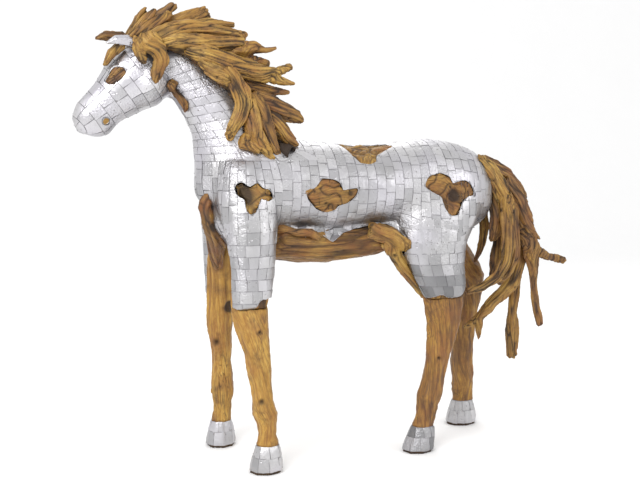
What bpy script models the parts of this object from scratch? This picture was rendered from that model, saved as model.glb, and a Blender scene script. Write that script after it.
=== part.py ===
"""Driftwood horse sculpture: a standing horse of teak roots, most of it clad in hammered sheet metal.

The horse faces -X, its left side is towards -Y and its hooves stand on z = 0. Free forms are drawn
on a grid of hundredths of the statue's height. A station of a limb reads (x, y, z, half width, half
thickness) on that grid. Walls, recesses, pegs and gaps are real sizes in metres.
"""

import math
import random

import bmesh
import bpy
from mathutils import Matrix, Vector

STATUE_HEIGHT = 1.80            # from the soles to the tip of the forelock
UNIT = STATUE_HEIGHT / 100.0

FIT_GAP = 0.0004                # between pieces that touch
SHEET_METAL = 0.003             # wall of the sleeve round a hoof
SOLE_REVEAL = 0.010             # bare wood below the metal of a hoof
INLAY_DEPTH = 0.024             # pocket of a wooden inlay, below the cladding's face
INLAY_RECESS = 0.004            # an inlay's face below the cladding's face
PEG_DIAMETER = 0.033            # nostril peg
PEG_DEPTH = 0.030
PEG_RECESS = 0.002

CLAD_GRAIN = 0.62 * UNIT        # cell of the grid that melts the body's masses together
CLAD_DETAIL = 0.0155             # share of that grid's faces that the finished body keeps
MITRE_LIMIT = 2.0               # how far a sharp corner may run out when a shape is grown
LEVEL_ANGLE = math.radians(0.06)     # faces within this angle of each other count as one

LEFT = Vector((0, -1, 0))
UP = Vector((0, 0, 1))
DOWN = -UP

METAL = (0.62, 0.61, 0.64, 1.0)
WOOD = (0.40, 0.22, 0.08, 1.0)

TRUNK = [
    (-30.4, 0, 62.3, 5.0, 6.4), (-28.6, 0, 61.8, 7.8, 9.2), (-25.0, 0, 61.3, 9.6, 10.8),
    (-20.0, 0, 60.9, 10.7, 11.2), (-12.0, 0, 60.6, 11.2, 10.6), (-4.0, 0, 60.2, 11.6, 10.4),
    (4.0, 0, 60.3, 11.5, 9.6), (12.0, 0, 60.7, 11.2, 9.8), (20.0, 0, 60.9, 11.3, 10.5),
    (27.0, 0, 60.4, 10.6, 10.2), (32.4, 0, 59.6, 8.2, 9.2), (35.4, 0, 58.8, 5.6, 6.6),
    (36.8, 0, 58.4, 3.0, 3.6),
]
NECK = [
    (-42.0, 0, 88.0, 4.4, 3.0), (-38.6, 0, 86.6, 5.0, 3.4), (-34.9, 0, 84.4, 5.6, 3.9),
    (-31.0, 0, 80.6, 6.2, 4.6), (-27.6, 0, 75.8, 7.3, 5.5), (-24.8, 0, 70.4, 9.4, 7.0),
    (-22.4, 0, 64.6, 10.6, 8.6), (-20.4, 0, 60.0, 9.0, 8.0),
]
HEAD = [
    (-40.2, 0, 87.6, 4.4, 3.0), (-43.4, 0, 86.2, 6.0, 4.1), (-47.2, 0, 82.6, 6.2, 4.7),
    (-50.7, 0, 79.4, 4.8, 3.8), (-53.7, 0, 77.4, 3.9, 3.1), (-56.0, 0, 75.6, 3.5, 3.0),
    (-57.7, 0, 74.9, 2.3, 2.2),
]
CHEEK = [(-43.4, -4.4, 82.6, 2.2, 2.4), (-43.4, -2.8, 82.6, 4.0, 4.4), (-43.4, 2.8, 82.6, 4.0, 4.4),
         (-43.4, 4.4, 82.6, 2.2, 2.4)]
CHIN = [(-57.0, 0, 73.8, 1.4, 2.0), (-54.6, 0, 73.6, 1.9, 2.5), (-52.6, 0, 74.0, 2.0, 2.4),
        (-50.6, 0, 75.8, 1.2, 1.8)]
BREAST = [(-25.0, 0, 66.0, 6.8, 6.0), (-26.2, 0, 59.5, 5.9, 7.4), (-26.0, 0, 53.6, 4.6, 7.6),
          (-25.4, 0, 50.4, 2.6, 5.6)]

# The shells of sheet metal on the outer halves of the legs, from the trunk to the hem
FORE_SHELL_LEFT = [
    (-23.6, -5.6, 66.0, 6.0, 4.6), (-23.6, -7.6, 58.0, 6.6, 5.0), (-23.4, -9.4, 51.0, 5.5, 4.2),
    (-23.4, -10.6, 45.0, 4.9, 3.2), (-23.8, -11.3, 39.5, 4.5, 2.7), (-24.1, -11.5, 35.6, 4.25, 2.4),
]
FORE_SHELL_RIGHT = [
    (-24.2, 5.6, 66.0, 6.0, 4.6), (-24.4, 7.6, 58.0, 6.4, 5.0), (-24.9, 9.4, 51.0, 5.2, 4.2),
    (-25.3, 10.6, 45.0, 4.3, 3.2), (-25.5, 11.3, 39.5, 3.7, 2.7), (-25.7, 11.5, 35.0, 3.5, 2.4),
]
HIND_SHELL_LEFT = [
    (23.0, -5.4, 64.0, 9.4, 5.4), (21.2, -6.6, 56.0, 10.6, 5.6), (19.6, -7.8, 49.0, 8.6, 4.9),
    (19.6, -8.9, 43.6, 7.2, 3.9), (20.9, -9.6, 39.2, 6.2, 3.3), (22.0, -9.8, 35.4, 5.3, 2.9),
]
HIND_SHELL_RIGHT = [
    (23.4, 5.4, 64.0, 9.4, 5.4), (23.6, 6.6, 56.0, 11.0, 5.6), (26.0, 7.8, 49.0, 9.0, 4.9),
    (29.4, 8.9, 43.6, 7.2, 3.9), (33.2, 9.6, 39.2, 5.8, 3.3), (35.8, 9.8, 35.6, 4.8, 2.9),
]

# Bare legs from the inside of the trunk down to the hoof
FORE_LEG_LEFT = [
    (-23.4, -8.4, 52.0, 3.9, 3.6), (-23.4, -9.4, 44.0, 4.1, 3.4), (-24.0, -10.2, 37.0, 3.9, 3.2),
    (-23.9, -10.6, 33.6, 3.7, 3.1), (-23.3, -10.8, 29.6, 3.2, 2.8), (-22.6, -10.8, 25.0, 2.8, 2.5),
    (-22.0, -10.8, 20.0, 2.4, 2.3), (-21.5, -10.8, 16.0, 2.5, 2.4), (-21.0, -10.8, 12.8, 2.85, 2.6),
    (-20.8, -10.8, 10.2, 2.1, 2.1), (-20.6, -10.8, 8.0, 2.0, 2.0),
]
FORE_LEG_RIGHT = [
    (-25.0, 8.4, 52.0, 3.8, 3.6), (-25.3, 9.2, 44.0, 3.6, 3.4), (-25.7, 10.0, 37.0, 3.3, 3.1),
    (-25.8, 10.4, 32.0, 3.1, 2.9), (-25.7, 10.5, 26.0, 2.75, 2.6), (-25.6, 10.5, 20.0, 2.4, 2.3),
    (-25.6, 10.5, 15.6, 2.7, 2.5), (-25.3, 10.5, 12.8, 2.8, 2.6), (-25.5, 10.5, 10.4, 2.15, 2.1),
    (-25.7, 10.5, 8.2, 2.1, 2.1),
]
HIND_LEG_LEFT = [
    (20.0, -6.0, 50.0, 5.6, 3.8), (20.2, -7.2, 43.0, 5.6, 3.5), (21.4, -8.0, 37.6, 5.2, 3.3),
    (22.2, -8.2, 33.6, 4.9, 3.2), (22.2, -8.2, 29.6, 4.1, 3.0), (21.6, -8.2, 26.0, 3.4, 2.8),
    (20.7, -8.2, 21.6, 2.8, 2.5), (19.7, -8.2, 16.6, 2.6, 2.5), (19.0, -8.2, 13.4, 2.95, 2.6),
    (18.4, -8.2, 10.8, 2.45, 2.3), (17.9, -8.2, 8.2, 2.2, 2.1),
]
HIND_LEG_RIGHT = [
    (26.4, 6.2, 50.0, 5.8, 3.8), (31.2, 7.4, 43.0, 6.4, 3.5), (35.4, 8.2, 37.6, 5.8, 3.3),
    (36.6, 8.6, 33.6, 4.6, 3.1), (36.5, 8.6, 29.6, 3.5, 2.9), (36.1, 8.6, 25.0, 2.8, 2.6),
    (35.7, 8.6, 20.0, 2.7, 2.5), (35.7, 8.6, 16.0, 2.9, 2.6), (36.1, 8.6, 12.6, 3.05, 2.7),
    (35.9, 8.6, 10.2, 2.55, 2.4), (35.8, 8.6, 8.4, 2.5, 2.3),
]
# Where a hoof stands: x and y of its middle, half length and half width on the ground, and how far
# its top sits back from its foot
HOOF_TOP = 6.4
LEG_SIDES = 8
HOOVES = {
    "front_left": (FORE_LEG_LEFT, -20.9, -10.8, 3.85, 3.4, 0.5),
    "front_right": (FORE_LEG_RIGHT, -26.1, 10.5, 3.65, 3.4, 0.3),
    "hind_left": (HIND_LEG_LEFT, 15.9, -8.2, 4.0, 3.4, 1.6),
    "hind_right": (HIND_LEG_RIGHT, 35.5, 8.6, 4.2, 3.5, 0.4),
}

# Outlines of the inlays, on the side they are seen from: (along +X, up)
SHOULDER_OUTLINE = [(-27.2, 61.6), (-25.6, 62.4), (-24.0, 61.2), (-22.6, 62.2), (-21.4, 60.9),
                    (-19.8, 61.0), (-18.9, 58.9), (-20.2, 58.2), (-22.0, 58.9), (-23.0, 56.2),
                    (-24.2, 55.3), (-25.2, 56.4), (-25.2, 58.6), (-26.6, 59.4)]
FLANK_OUTLINE = [(-12.0, 60.2), (-9.6, 61.1), (-8.2, 62.9), (-5.6, 62.7), (-3.9, 61.9), (-3.6, 60.4),
                 (0.4, 61.0), (-0.6, 58.8), (-2.4, 57.7), (-4.4, 57.2), (-5.0, 55.9), (-7.8, 55.7),
                 (-9.6, 56.7), (-11.3, 58.6)]
HIP_OUTLINE = [(15.5, 61.0), (17.0, 63.1), (19.8, 63.7), (22.0, 62.9), (22.6, 61.4), (24.6, 62.1),
               (26.8, 61.8), (27.9, 60.2), (28.4, 58.4), (26.4, 58.4), (24.6, 56.8), (23.8, 54.4),
               (21.4, 54.1), (20.2, 56.2), (19.7, 58.6), (17.4, 59.6)]
BACK_OUTLINE = [(-3.6, 4.6), (-3.0, 0.8), (-2.0, -3.0), (-0.8, -5.0), (1.4, -5.4), (3.4, -4.6),
                (3.8, -2.6), (6.4, -0.8), (8.8, 0.8), (8.2, 3.0), (3.0, 4.4)]
EYE_OUTLINE = [(-52.4, 83.0), (-51.8, 85.4), (-50.4, 86.1), (-48.2, 85.9), (-47.8, 84.9),
               (-49.0, 83.4), (-50.4, 82.3), (-51.6, 82.2)]
RIGHT_HIP_OUTLINE = [(14.0, 58.0), (15.6, 61.6), (19.4, 62.4), (22.8, 60.8), (26.0, 61.4),
                     (27.4, 58.8), (24.2, 56.6), (20.6, 57.0), (17.0, 55.4)]

# Wood that is not clad, besides the legs, the mane and the tail
BELLY = [[(-18.0, 0, 50.6, 7.6, 5.6), (-15.4, 0, 50.3, 9.2, 6.0), (-10.0, 0, 49.4, 9.2, 5.5),
          (-4.0, 0, 48.5, 8.8, 5.0), (3.0, 0, 49.6, 9.0, 5.3), (9.0, 0, 50.6, 9.2, 5.2),
          (13.0, 0, 51.0, 8.0, 4.6)]]
STIFLE_LEFT = [[(3.6, -8.6, 51.6, 2.0, 2.0), (8.0, -9.4, 50.4, 2.3, 2.1), (12.6, -9.8, 47.6, 1.8, 1.8)],
               [(8.6, -8.4, 49.0, 2.2, 2.0), (10.6, -7.8, 44.8, 1.6, 1.8), (13.4, -7.6, 41.0, 1.3, 1.7),
                (16.4, -7.6, 37.2, 1.0, 1.5), (18.2, -7.8, 34.8, 0.5, 1.0)]]
STIFLE_RIGHT = [[(7.6, 8.8, 51.6, 2.0, 2.0), (12.4, 9.4, 50.2, 2.2, 2.0), (17.0, 9.4, 47.4, 1.7, 1.8)],
                [(16.6, 8.2, 48.6, 2.2, 2.0), (21.8, 8.0, 43.8, 1.6, 1.8), (26.6, 8.2, 39.6, 1.3, 1.6),
                 (30.8, 8.4, 36.0, 0.8, 1.2)]]
CREST = [[(-44.0, 0, 90.8, 1.2, 2.6), (-39.6, 0, 91.0, 1.7, 3.4), (-35.4, 0, 89.8, 2.2, 4.4),
          (-30.6, 0, 86.6, 2.4, 4.9), (-26.4, 0, 82.4, 2.6, 5.2), (-22.8, 0, 77.6, 2.8, 5.8),
          (-18.8, 0, 73.4, 2.6, 6.4), (-14.6, 0, 70.9, 1.7, 6.0), (-11.6, 0, 69.9, 0.9, 4.2)]]
EAR_LEFT = [(-45.2, -3.2, 90.6, 1.2, 1.1), (-47.8, -3.8, 91.2, 1.4, 1.1), (-50.2, -4.2, 91.2, 1.1, 0.8),
            (-52.0, -4.3, 90.5, 0.4, 0.35)]
SMALL_ROOTS = {
    "belly_branch": [[(-17.2, -7.8, 52.4, 0.9, 0.8), (-13.6, -8.8, 51.4, 1, 0.9),
                      (-10.2, -9.3, 51.3, 1.1, 0.9), (-8.4, -9, 50, 0.8, 0.7)]],
    "chest_root": [[(-31, -2.6, 59.8, 1.4, 1.8), (-31.2, -2.8, 57, 2.1, 2.4),
                    (-30.6, -2.2, 53.8, 2.2, 2.6), (-29, 0.4, 50.4, 2.2, 2.6), (-28, 3.6, 47, 1.9, 2.2),
                    (-27.2, 6.4, 43, 1.3, 1.6)]],
    "throat_root": [[(-38.5, -0.8, 83, 1.6, 1.6), (-38.6, -3.6, 82.2, 1.6, 1.6)],
                    [(-38.4, -2.6, 82, 1.1, 1), (-37, -3, 80.4, 1.1, 1), (-36.1, -2.9, 78.6, 0.9, 0.9),
                     (-35.7, -2.6, 77, 0.4, 0.5)]],
    "brow_root": [[(-48.8, -2.6, 90.6, 1.1, 1.3), (-50.8, -2.8, 88.8, 1.1, 1.3),
                   (-52, -2.8, 86.6, 0.7, 1)]],
    "ear_right": [[(-45.4, 3, 90.8, 1.3, 1), (-48.2, 3.5, 92.5, 1.5, 0.9), (-51.2, 3.8, 92.8, 1.2, 0.7),
                   (-53.4, 3.8, 92.4, 0.35, 0.3)]],
}

# Roots of the mane, each made of one or more limbs
MANE = {
    "forelock_spike_back": [[(-47.7, -1, 91.2, 1.5, 1), (-46.1, -1, 94, 1.2, 0.8),
                             (-44.6, -1, 96.4, 1, 0.6), (-43.4, -1, 98.4, 0.4, 0.4)]],
    "forelock_spike_front": [[(-47.1, -2.4, 91.2, 1.6, 1), (-45.1, -2.5, 94, 1.3, 0.9),
                              (-43.1, -2.4, 96.4, 1.2, 0.8), (-41.8, -2.2, 98.1, 0.7, 0.5)]],
    "forelock_spike_tall": [[(-45.8, 0.6, 90.8, 1.9, 1.3), (-42.9, 0.5, 94.7, 1.8, 1.2),
                             (-40.5, 0.3, 96.8, 1.6, 1), (-38.7, 0.2, 98.3, 1.2, 0.9),
                             (-37.7, 0, 99.5, 0.9, 0.7)]],
    "forelock_board": [[(-46.6, -3.2, 90.8, 1.9, 1.2), (-43.8, -3.2, 93.5, 2.5, 1.2),
                        (-40.6, -2.7, 95.7, 2, 1), (-38.6, -2.2, 97.3, 1, 0.6)]],
    "forelock_fork": [[(-45.3, -4.4, 91.7, 1.8, 1.2), (-43.4, -5.2, 91.1, 2.9, 1.2),
                       (-41.7, -5.5, 89.5, 2.3, 1.2), (-41, -5.4, 87.5, 2, 1.2),
                       (-41.8, -5.2, 85.2, 1.5, 1), (-42.7, -4.9, 82.9, 1, 0.8)],
                      [(-44.6, -4.7, 91.2, 2.2, 1.2), (-45.6, -5.2, 89.3, 1.5, 1),
                       (-44.9, -5.3, 87.6, 1.3, 0.9), (-44.5, -5.3, 86.6, 0.7, 0.6)]],
    "mane_crest": [[(-41.6, 0.4, 93.6, 2.8, 2.3), (-37.6, 0.2, 95, 3.1, 2.3), (-34, 0, 96.4, 2.3, 1.8),
                    (-31.8, 0, 97.4, 2.2, 1.5), (-30.4, 0, 97.9, 1.8, 1.3)]],
    "mane_reed": [[(-35, -1.6, 94.4, 1.9, 1.2), (-30.7, -1.6, 95.5, 1.3, 0.9),
                   (-27.5, -1.4, 95.8, 1, 0.8), (-24.8, -1.2, 95.5, 0.7, 0.6)]],
    "mane_sweep": [[(-45.4, -3.2, 91.2, 1.8, 1.3), (-42, -3.9, 92.3, 2.2, 1.4),
                    (-38.1, -4.1, 93.8, 2.3, 1.4), (-34.3, -3.9, 94.2, 2.2, 1.4),
                    (-30.5, -3.5, 93.9, 1.9, 1.3), (-26.7, -3, 93.6, 1.6, 1),
                    (-22.8, -2.6, 93.1, 1.2, 0.8)]],
    "mane_rail": [[(-41, -4, 90.8, 1.5, 1.2), (-37.7, -4.9, 91.5, 1.9, 1.3), (-34, -5, 91.5, 2.3, 1.4),
                   (-30.2, -4.7, 91.2, 2, 1.4), (-26.5, -4.1, 91.4, 1.8, 1.2),
                   (-23.3, -3.6, 91.7, 1.3, 0.9)]],
    "mane_wing": [[(-29.6, -3.2, 89.4, 2.2, 1.5), (-24.9, -3.4, 90.3, 2.2, 1.3),
                   (-20.9, -3.4, 90.7, 1.6, 1), (-18.4, -3.2, 90.3, 0.9, 0.6),
                   (-15.9, -3, 90.8, 0.4, 0.3)],
                  [(-26.5, -2.8, 88.4, 1.9, 1.3), (-22.6, -2.4, 88.6, 1.6, 1.2),
                   (-20, -2.2, 88.2, 1.3, 1), (-17.6, -2, 87.3, 1.2, 0.9)]],
    "mane_fork": [[(-36, -4.8, 90, 1.8, 1.3), (-31.9, -5.7, 88.9, 2.3, 1.4),
                   (-28.2, -6, 87.5, 2.5, 1.4), (-24.3, -5.8, 86.3, 2.5, 1.4),
                   (-20.3, -5.2, 85.5, 2, 1.3), (-16.4, -4.8, 85.7, 1.3, 1), (-13, -4.4, 86.9, 1, 0.8)],
                  [(-22.8, -5.4, 85.4, 1.9, 1.3), (-19, -5, 84.6, 1.5, 1), (-15.6, -4.8, 83.8, 1, 0.8),
                   (-12.4, -4.4, 83.1, 0.5, 0.4)]],
    "mane_blade": [[(-33.4, -5.2, 88.6, 1.5, 1.2), (-30.9, -6.1, 86.3, 2.2, 1.3),
                    (-28.4, -6.4, 84.6, 2, 1.3), (-26.2, -6.4, 83.4, 1.6, 1.2)]],
    "mane_boomerang": [[(-28, -6.6, 86, 1.6, 1.2), (-26.3, -6.8, 83.9, 2, 1.3),
                        (-24.7, -7.1, 81, 2.2, 1.3), (-24.1, -7.3, 78.3, 2, 1.3),
                        (-25.2, -7.4, 75.8, 1.6, 1.2), (-26.7, -7.5, 73.5, 1.3, 1),
                        (-27.6, -7.5, 71.5, 1, 0.8)]],
    "mane_thorn": [[(-24, -3.2, 83, 2.3, 1.5), (-20.5, -3.4, 82.3, 2, 1.3),
                    (-16.8, -3.6, 81.6, 1.3, 0.9), (-13.4, -3.8, 81.4, 0.5, 0.4)]],
    "mane_leaf": [[(-21.6, -4.6, 80.2, 2.2, 1.4), (-17.8, -5, 78.9, 2.5, 1.2),
                   (-14.6, -5, 77.2, 2.5, 1), (-11.9, -4.8, 76.1, 1.9, 0.8),
                   (-10.4, -4.6, 75.1, 0.7, 0.5)]],
    "mane_fall_front": [[(-24.6, -6, 81.6, 1.6, 1.2), (-23.2, -6.6, 78.6, 2, 1.3),
                         (-22.4, -7.1, 75.4, 1.9, 1.3), (-21.8, -7.6, 72.3, 1.9, 1.3),
                         (-20.2, -8.1, 69.6, 1.5, 1.2), (-18.6, -8.5, 67, 0.9, 0.8)],
                        [(-21, -8.2, 69.4, 1.5, 1.2), (-23, -8, 70.1, 1.6, 1.3),
                         (-24.9, -7.8, 70.9, 1.9, 1.2)]],
    "mane_fall_middle": [[(-22, -5.4, 81, 1.8, 1.2), (-20.2, -6, 77.6, 2, 1.3),
                          (-19.3, -6.6, 74, 2, 1.3), (-18.3, -7.2, 70.6, 1.6, 1.2),
                          (-17, -7.7, 67.6, 0.9, 0.8)]],
    "mane_fall_back": [[(-19.6, -4.8, 78, 1.9, 1.3), (-17.2, -5.4, 75.3, 2.2, 1.3),
                        (-15.4, -5.7, 72.9, 2, 1.2), (-13.8, -5.8, 71.2, 1.5, 1),
                        (-11.8, -5.6, 70.1, 0.7, 0.6)]],
    "mane_right_top": [[(-44.6, 2.8, 91.4, 1.9, 1.3), (-40.2, 3.6, 92.6, 2.3, 1.4),
                        (-35.6, 3.8, 93.4, 2.5, 1.4), (-30.4, 3.4, 92.6, 2, 1.3),
                        (-25.2, 2.8, 92.2, 1.2, 0.8)]],
    "mane_right_blade": [[(-38, 4, 90.4, 1.9, 1.3), (-33.4, 5.2, 88.6, 2.5, 1.4),
                          (-28.8, 5.8, 85.6, 2.5, 1.4), (-23.6, 5.4, 84.4, 1.9, 1.2),
                          (-18.6, 4.4, 84.8, 0.9, 0.6)]],
    "mane_right_fall": [[(-29.6, 5.9, 82.9, 1.9, 1.3), (-27, 6.4, 79.6, 2.3, 1.4),
                         (-25, 7, 75.4, 2, 1.3), (-22.6, 7.8, 71.6, 1.6, 1.2),
                         (-20.6, 8.2, 68.4, 0.9, 0.6)]],
    "mane_right_back": [[(-23.6, 5.2, 81, 2.2, 1.4), (-20.4, 6, 77.4, 2.3, 1.4),
                         (-17.4, 6.4, 74, 2, 1.3), (-13.2, 6, 71.6, 1.2, 0.9)],
                        [(-21.6, 4.8, 80.4, 1.9, 1.3), (-17, 4.4, 79.4, 1.6, 1),
                         (-12.6, 4, 78.2, 0.7, 0.5)]],
}

TAIL = {
    "tail_dock": [[(32, -4.4, 66.6, 1.7, 1.7), (34.9, -4.4, 64.4, 2.5, 1.8),
                   (37.6, -4.4, 61.2, 2.7, 1.7), (39.8, -4.2, 57.6, 2.1, 1.5),
                   (41.4, -3.9, 54.4, 1.2, 1)]],
    "tail_top": [[(35.6, 0.2, 65.6, 2.7, 3.3), (38.6, 0.2, 64.6, 2.6, 3), (41.8, 0, 62.8, 2.2, 2.3),
                  (44.8, 0, 60, 1.6, 1.5), (47, 0, 57.6, 1.1, 0.9), (48.5, 0, 55.7, 0.3, 0.3)]],
    "tail_long": [[(40.6, -2, 61.8, 1.9, 1.6), (44.2, -2.2, 57.3, 2.2, 1.6),
                   (46.2, -2.3, 52.6, 2.2, 1.6), (47.4, -2.3, 47.8, 2.2, 1.5),
                   (48.4, -2.3, 43.3, 2, 1.4), (49.2, -2.2, 38.3, 1.3, 1), (49.5, -2.1, 33.8, 1, 0.8),
                   (50.2, -2, 29.8, 0.9, 0.8), (51.3, -2, 26, 1, 0.8)],
                  [(47.4, -2.3, 48, 1.7, 1.3), (49.8, -2.2, 44.7, 1.6, 1.1),
                   (52.8, -2.1, 42.9, 1.1, 0.9), (57.7, -2, 41.8, 0.9, 0.7)],
                  [(46.6, -2.3, 50.4, 1.5, 1.1), (48.8, -2.3, 48.8, 0.8, 0.7),
                   (50.6, -2.3, 47.2, 0.3, 0.3)]],
    "tail_curl": [[(38.6, -4.2, 60, 1.6, 1.3), (39.8, -5, 56, 1.9, 1.3), (40.1, -5.4, 51.7, 2, 1.3),
                   (40.1, -5.6, 47.2, 1.9, 1.3), (39.4, -5.8, 42.7, 1.7, 1.3), (37.1, -6, 39, 1.5, 1.1),
                   (33.1, -6.4, 37, 1.1, 0.9), (28.8, -6.9, 36.2, 0.9, 0.8)]],
    "tail_hook": [[(43.4, -0.2, 58.4, 1.7, 1.5), (45.4, -0.4, 52.9, 1.9, 1.4),
                   (46.2, -0.4, 47.1, 1.9, 1.4), (46, -0.4, 41.9, 2, 1.4), (44.7, -0.4, 37.1, 2, 1.4),
                   (41.5, -0.5, 34.1, 1.9, 1.3), (38.1, -0.6, 31.5, 1.6, 1.3),
                   (35.3, -0.6, 28.5, 1.3, 1.1), (35.1, -0.6, 25.5, 0.8, 0.6),
                   (35.4, -0.6, 23.3, 0.4, 0.4)],
                  [(36.8, -0.6, 29.6, 1.1, 0.9), (33.9, -0.6, 27.6, 1, 0.8),
                   (31.5, -0.6, 26.4, 0.6, 0.4)]],
    "tail_drop": [[(45.4, 1.4, 43, 1.6, 1.4), (46.4, 1.8, 38.3, 1.7, 1.4), (46.1, 1.8, 33.7, 1.5, 1.1),
                   (45.7, 1.8, 29.1, 1.3, 1), (45.7, 1.8, 24.8, 2, 1.3), (45.8, 1.8, 21, 1.7, 1.1),
                   (45.7, 1.8, 17.8, 1.3, 1)]],
    "tail_flake": [[(37.4, -2, 60.7, 1.6, 1.5), (38.1, -2.6, 57.2, 2.2, 1.4),
                    (38.6, -3.2, 53.5, 2.4, 1.3), (38.1, -3.4, 50.3, 2.2, 1.1),
                    (37, -3.2, 47.6, 0.9, 0.8)]],
    "tail_inner": [[(38.8, 1.8, 60.4, 2, 1.8), (40.6, 1.6, 55.6, 2, 1.5), (41.2, 1.4, 51, 2, 1.4),
                    (41.2, 1.2, 46.9, 1.7, 1.3), (40.6, 1, 42.9, 2, 1.3), (40, 0.8, 39.4, 1.6, 1),
                    (38.7, 0.6, 36.6, 0.7, 0.6)]],
    "tail_twig": [[(36.6, 2.8, 58.6, 1.7, 1.6), (37.6, 2.8, 54.4, 1.6, 1.3), (38, 2.6, 50.6, 1.3, 1.1),
                   (37.6, 2.4, 47, 1.2, 1), (36.6, 2.2, 44.3, 0.9, 0.8), (35.5, 2.2, 41.9, 0.7, 0.6)]],
    "tail_strand": [[(41.6, -1.4, 59.8, 1.6, 1.3), (42.9, -2.6, 54, 1.6, 1.3),
                     (43.1, -3.2, 48.8, 1.5, 1.1), (43, -3.4, 43.6, 1.5, 1.1),
                     (41.8, -3.4, 40.1, 1.1, 0.9), (39, -3.4, 37.2, 0.8, 0.6)]],
}


def clear_scene():
    """Remove the objects that the file opened with."""
    for old in list(bpy.data.objects):
        bpy.data.objects.remove(old, do_unlink=True)


def collection(name):
    """Make a collection of this name in the scene."""
    made = bpy.data.collections.new(name)
    bpy.context.scene.collection.children.link(made)
    return made


def finish(obj, colour, metallic, roughness):
    """Give an object a material of its own."""
    paint = bpy.data.materials.new(obj.name + "_finish")
    paint.use_nodes = True
    shader = paint.node_tree.nodes["Principled BSDF"]
    shader.inputs["Base Color"].default_value = colour
    shader.inputs["Metallic"].default_value = metallic
    shader.inputs["Roughness"].default_value = roughness
    paint.diffuse_color = colour
    obj.data.materials.clear()
    obj.data.materials.append(paint)
    return obj


def wooden(obj):
    """Bare teak root."""
    return finish(obj, WOOD, 0.0, 0.6)


def metallic(obj):
    """Bright hammered sheet."""
    return finish(obj, METAL, 1.0, 0.3)


def as_object(name, bm, home):
    """Turn a bmesh into an object of flat triangles, which a Boolean cuts most cleanly."""
    bmesh.ops.triangulate(bm, faces=bm.faces)
    bmesh.ops.recalc_face_normals(bm, faces=bm.faces)
    mesh = bpy.data.meshes.new(name)
    bm.to_mesh(mesh)
    bm.free()
    obj = bpy.data.objects.new(name, mesh)
    home.objects.link(obj)
    return obj


def catmull_rom(a, b, c, d, t):
    """A number between b and c on a smooth curve through a, b, c and d."""
    return 0.5 * (2 * b + (c - a) * t + (2 * a - 5 * b + 4 * c - d) * t * t
                  + (3 * b - a - 3 * c + d) * t ** 3)


def smooth_stations(stations, steps):
    """Add steps - 1 stations between each two, on a smooth curve."""
    if steps == 1:
        return [tuple(station) for station in stations]
    ends = [stations[0]] + list(stations) + [stations[-1]]
    smooth = []
    for before, here, there, after in zip(ends, ends[1:], ends[2:], ends[3:]):
        for step in range(steps):
            numbers = zip(before, here, there, after)
            smooth.append(tuple(catmull_rom(*four, step / steps) for four in numbers))
    smooth.append(tuple(stations[-1]))
    return smooth


def add_limb(bm, stations, sides, face=LEFT, heading=None, steps=1, rough=0.0, even=0.0, seed="",
             blunt=(0.45, 0.45)):
    """Add a closed skin through rings round the stations.

    The half thickness lies along face and the half width across it. With a heading every ring is
    square to it, or else to the path. Rings at or below the height even are not roughened. Blunt
    is how far the first and the last end are rounded past their stations, as a share of the half
    thickness there, and 0 leaves an end flat.
    """
    dice = random.Random(seed)
    path = smooth_stations(stations, steps)
    middles = [Vector(station[:3]) * UNIT for station in path]
    waves = [dice.uniform(0.6, 1.4) for _ in range(sides)]
    rings = []

    def add_ring(middle, ahead, half_width, half_thickness, jitter):
        normal = (face - ahead * face.dot(ahead)).normalized()
        across = ahead.cross(normal)
        ring = []
        for side in range(sides):
            angle = 2 * math.pi * side / sides
            swell = 1.0 + jitter * waves[side] * dice.uniform(-1.0, 1.0)
            offset = across * (half_width * math.cos(angle)) + normal * (half_thickness * math.sin(angle))
            ring.append(bm.verts.new(middle + offset * (UNIT * swell)))
        rings.append(ring)

    for index, (middle, station) in enumerate(zip(middles, path)):
        before = middles[max(index - 1, 0)]
        after = middles[min(index + 1, len(path) - 1)]
        ahead = (heading or (after - before)).normalized()
        half_width, half_thickness = station[3], station[4]
        reach = ahead * (half_thickness * UNIT)
        if blunt[0] and index == 0:
            add_ring(middle - reach * blunt[0], ahead, half_width * 0.55, half_thickness * 0.55, 0.0)
        add_ring(middle, ahead, half_width, half_thickness, rough if station[2] > even else 0.0)
        if blunt[1] and index == len(path) - 1:
            add_ring(middle + reach * blunt[1], ahead, half_width * 0.55, half_thickness * 0.55, 0.0)
    for ring, following in zip(rings, rings[1:]):
        for side in range(sides):
            turn = (side + 1) % sides
            bm.faces.new((ring[side], ring[turn], following[turn], following[side]))
    bm.faces.new(rings[0])
    bm.faces.new(rings[-1])


def baked(obj):
    """Put an object's evaluated shape, in triangles, in place of its mesh and modifiers."""
    flat = obj.modifiers.new("flat", "TRIANGULATE")
    flat.ngon_method = "BEAUTY"
    graph = bpy.context.evaluated_depsgraph_get()
    mesh = bpy.data.meshes.new_from_object(obj.evaluated_get(graph))
    obj.modifiers.clear()
    obj.data = mesh
    return obj


def carve(obj, other, operation):
    """Apply a Boolean of two closed shapes.

    The EXACT solver loses a whole root here and there where rough skins graze each other.
    """
    boolean = obj.modifiers.new("carve", "BOOLEAN")
    boolean.operation = operation
    boolean.solver = "MANIFOLD"
    boolean.object = other
    return baked(obj)


def grown(obj, amount, home):
    """A copy of an object with its faces moved out by amount, or in where it is below zero."""
    bm = bmesh.new()
    bm.from_mesh(obj.data)
    bm.normal_update()
    moves = [vert.normal * (amount * min(vert.calc_shell_factor(), MITRE_LIMIT)) for vert in bm.verts]
    for vert, move in zip(bm.verts, moves):
        vert.co += move
    return as_object(obj.name + "_cutter", bm, home)


def duplicate(obj, home):
    """A copy of an object with a mesh of its own."""
    copy = obj.copy()
    copy.data = obj.data.copy()
    home.objects.link(copy)
    return copy


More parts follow.
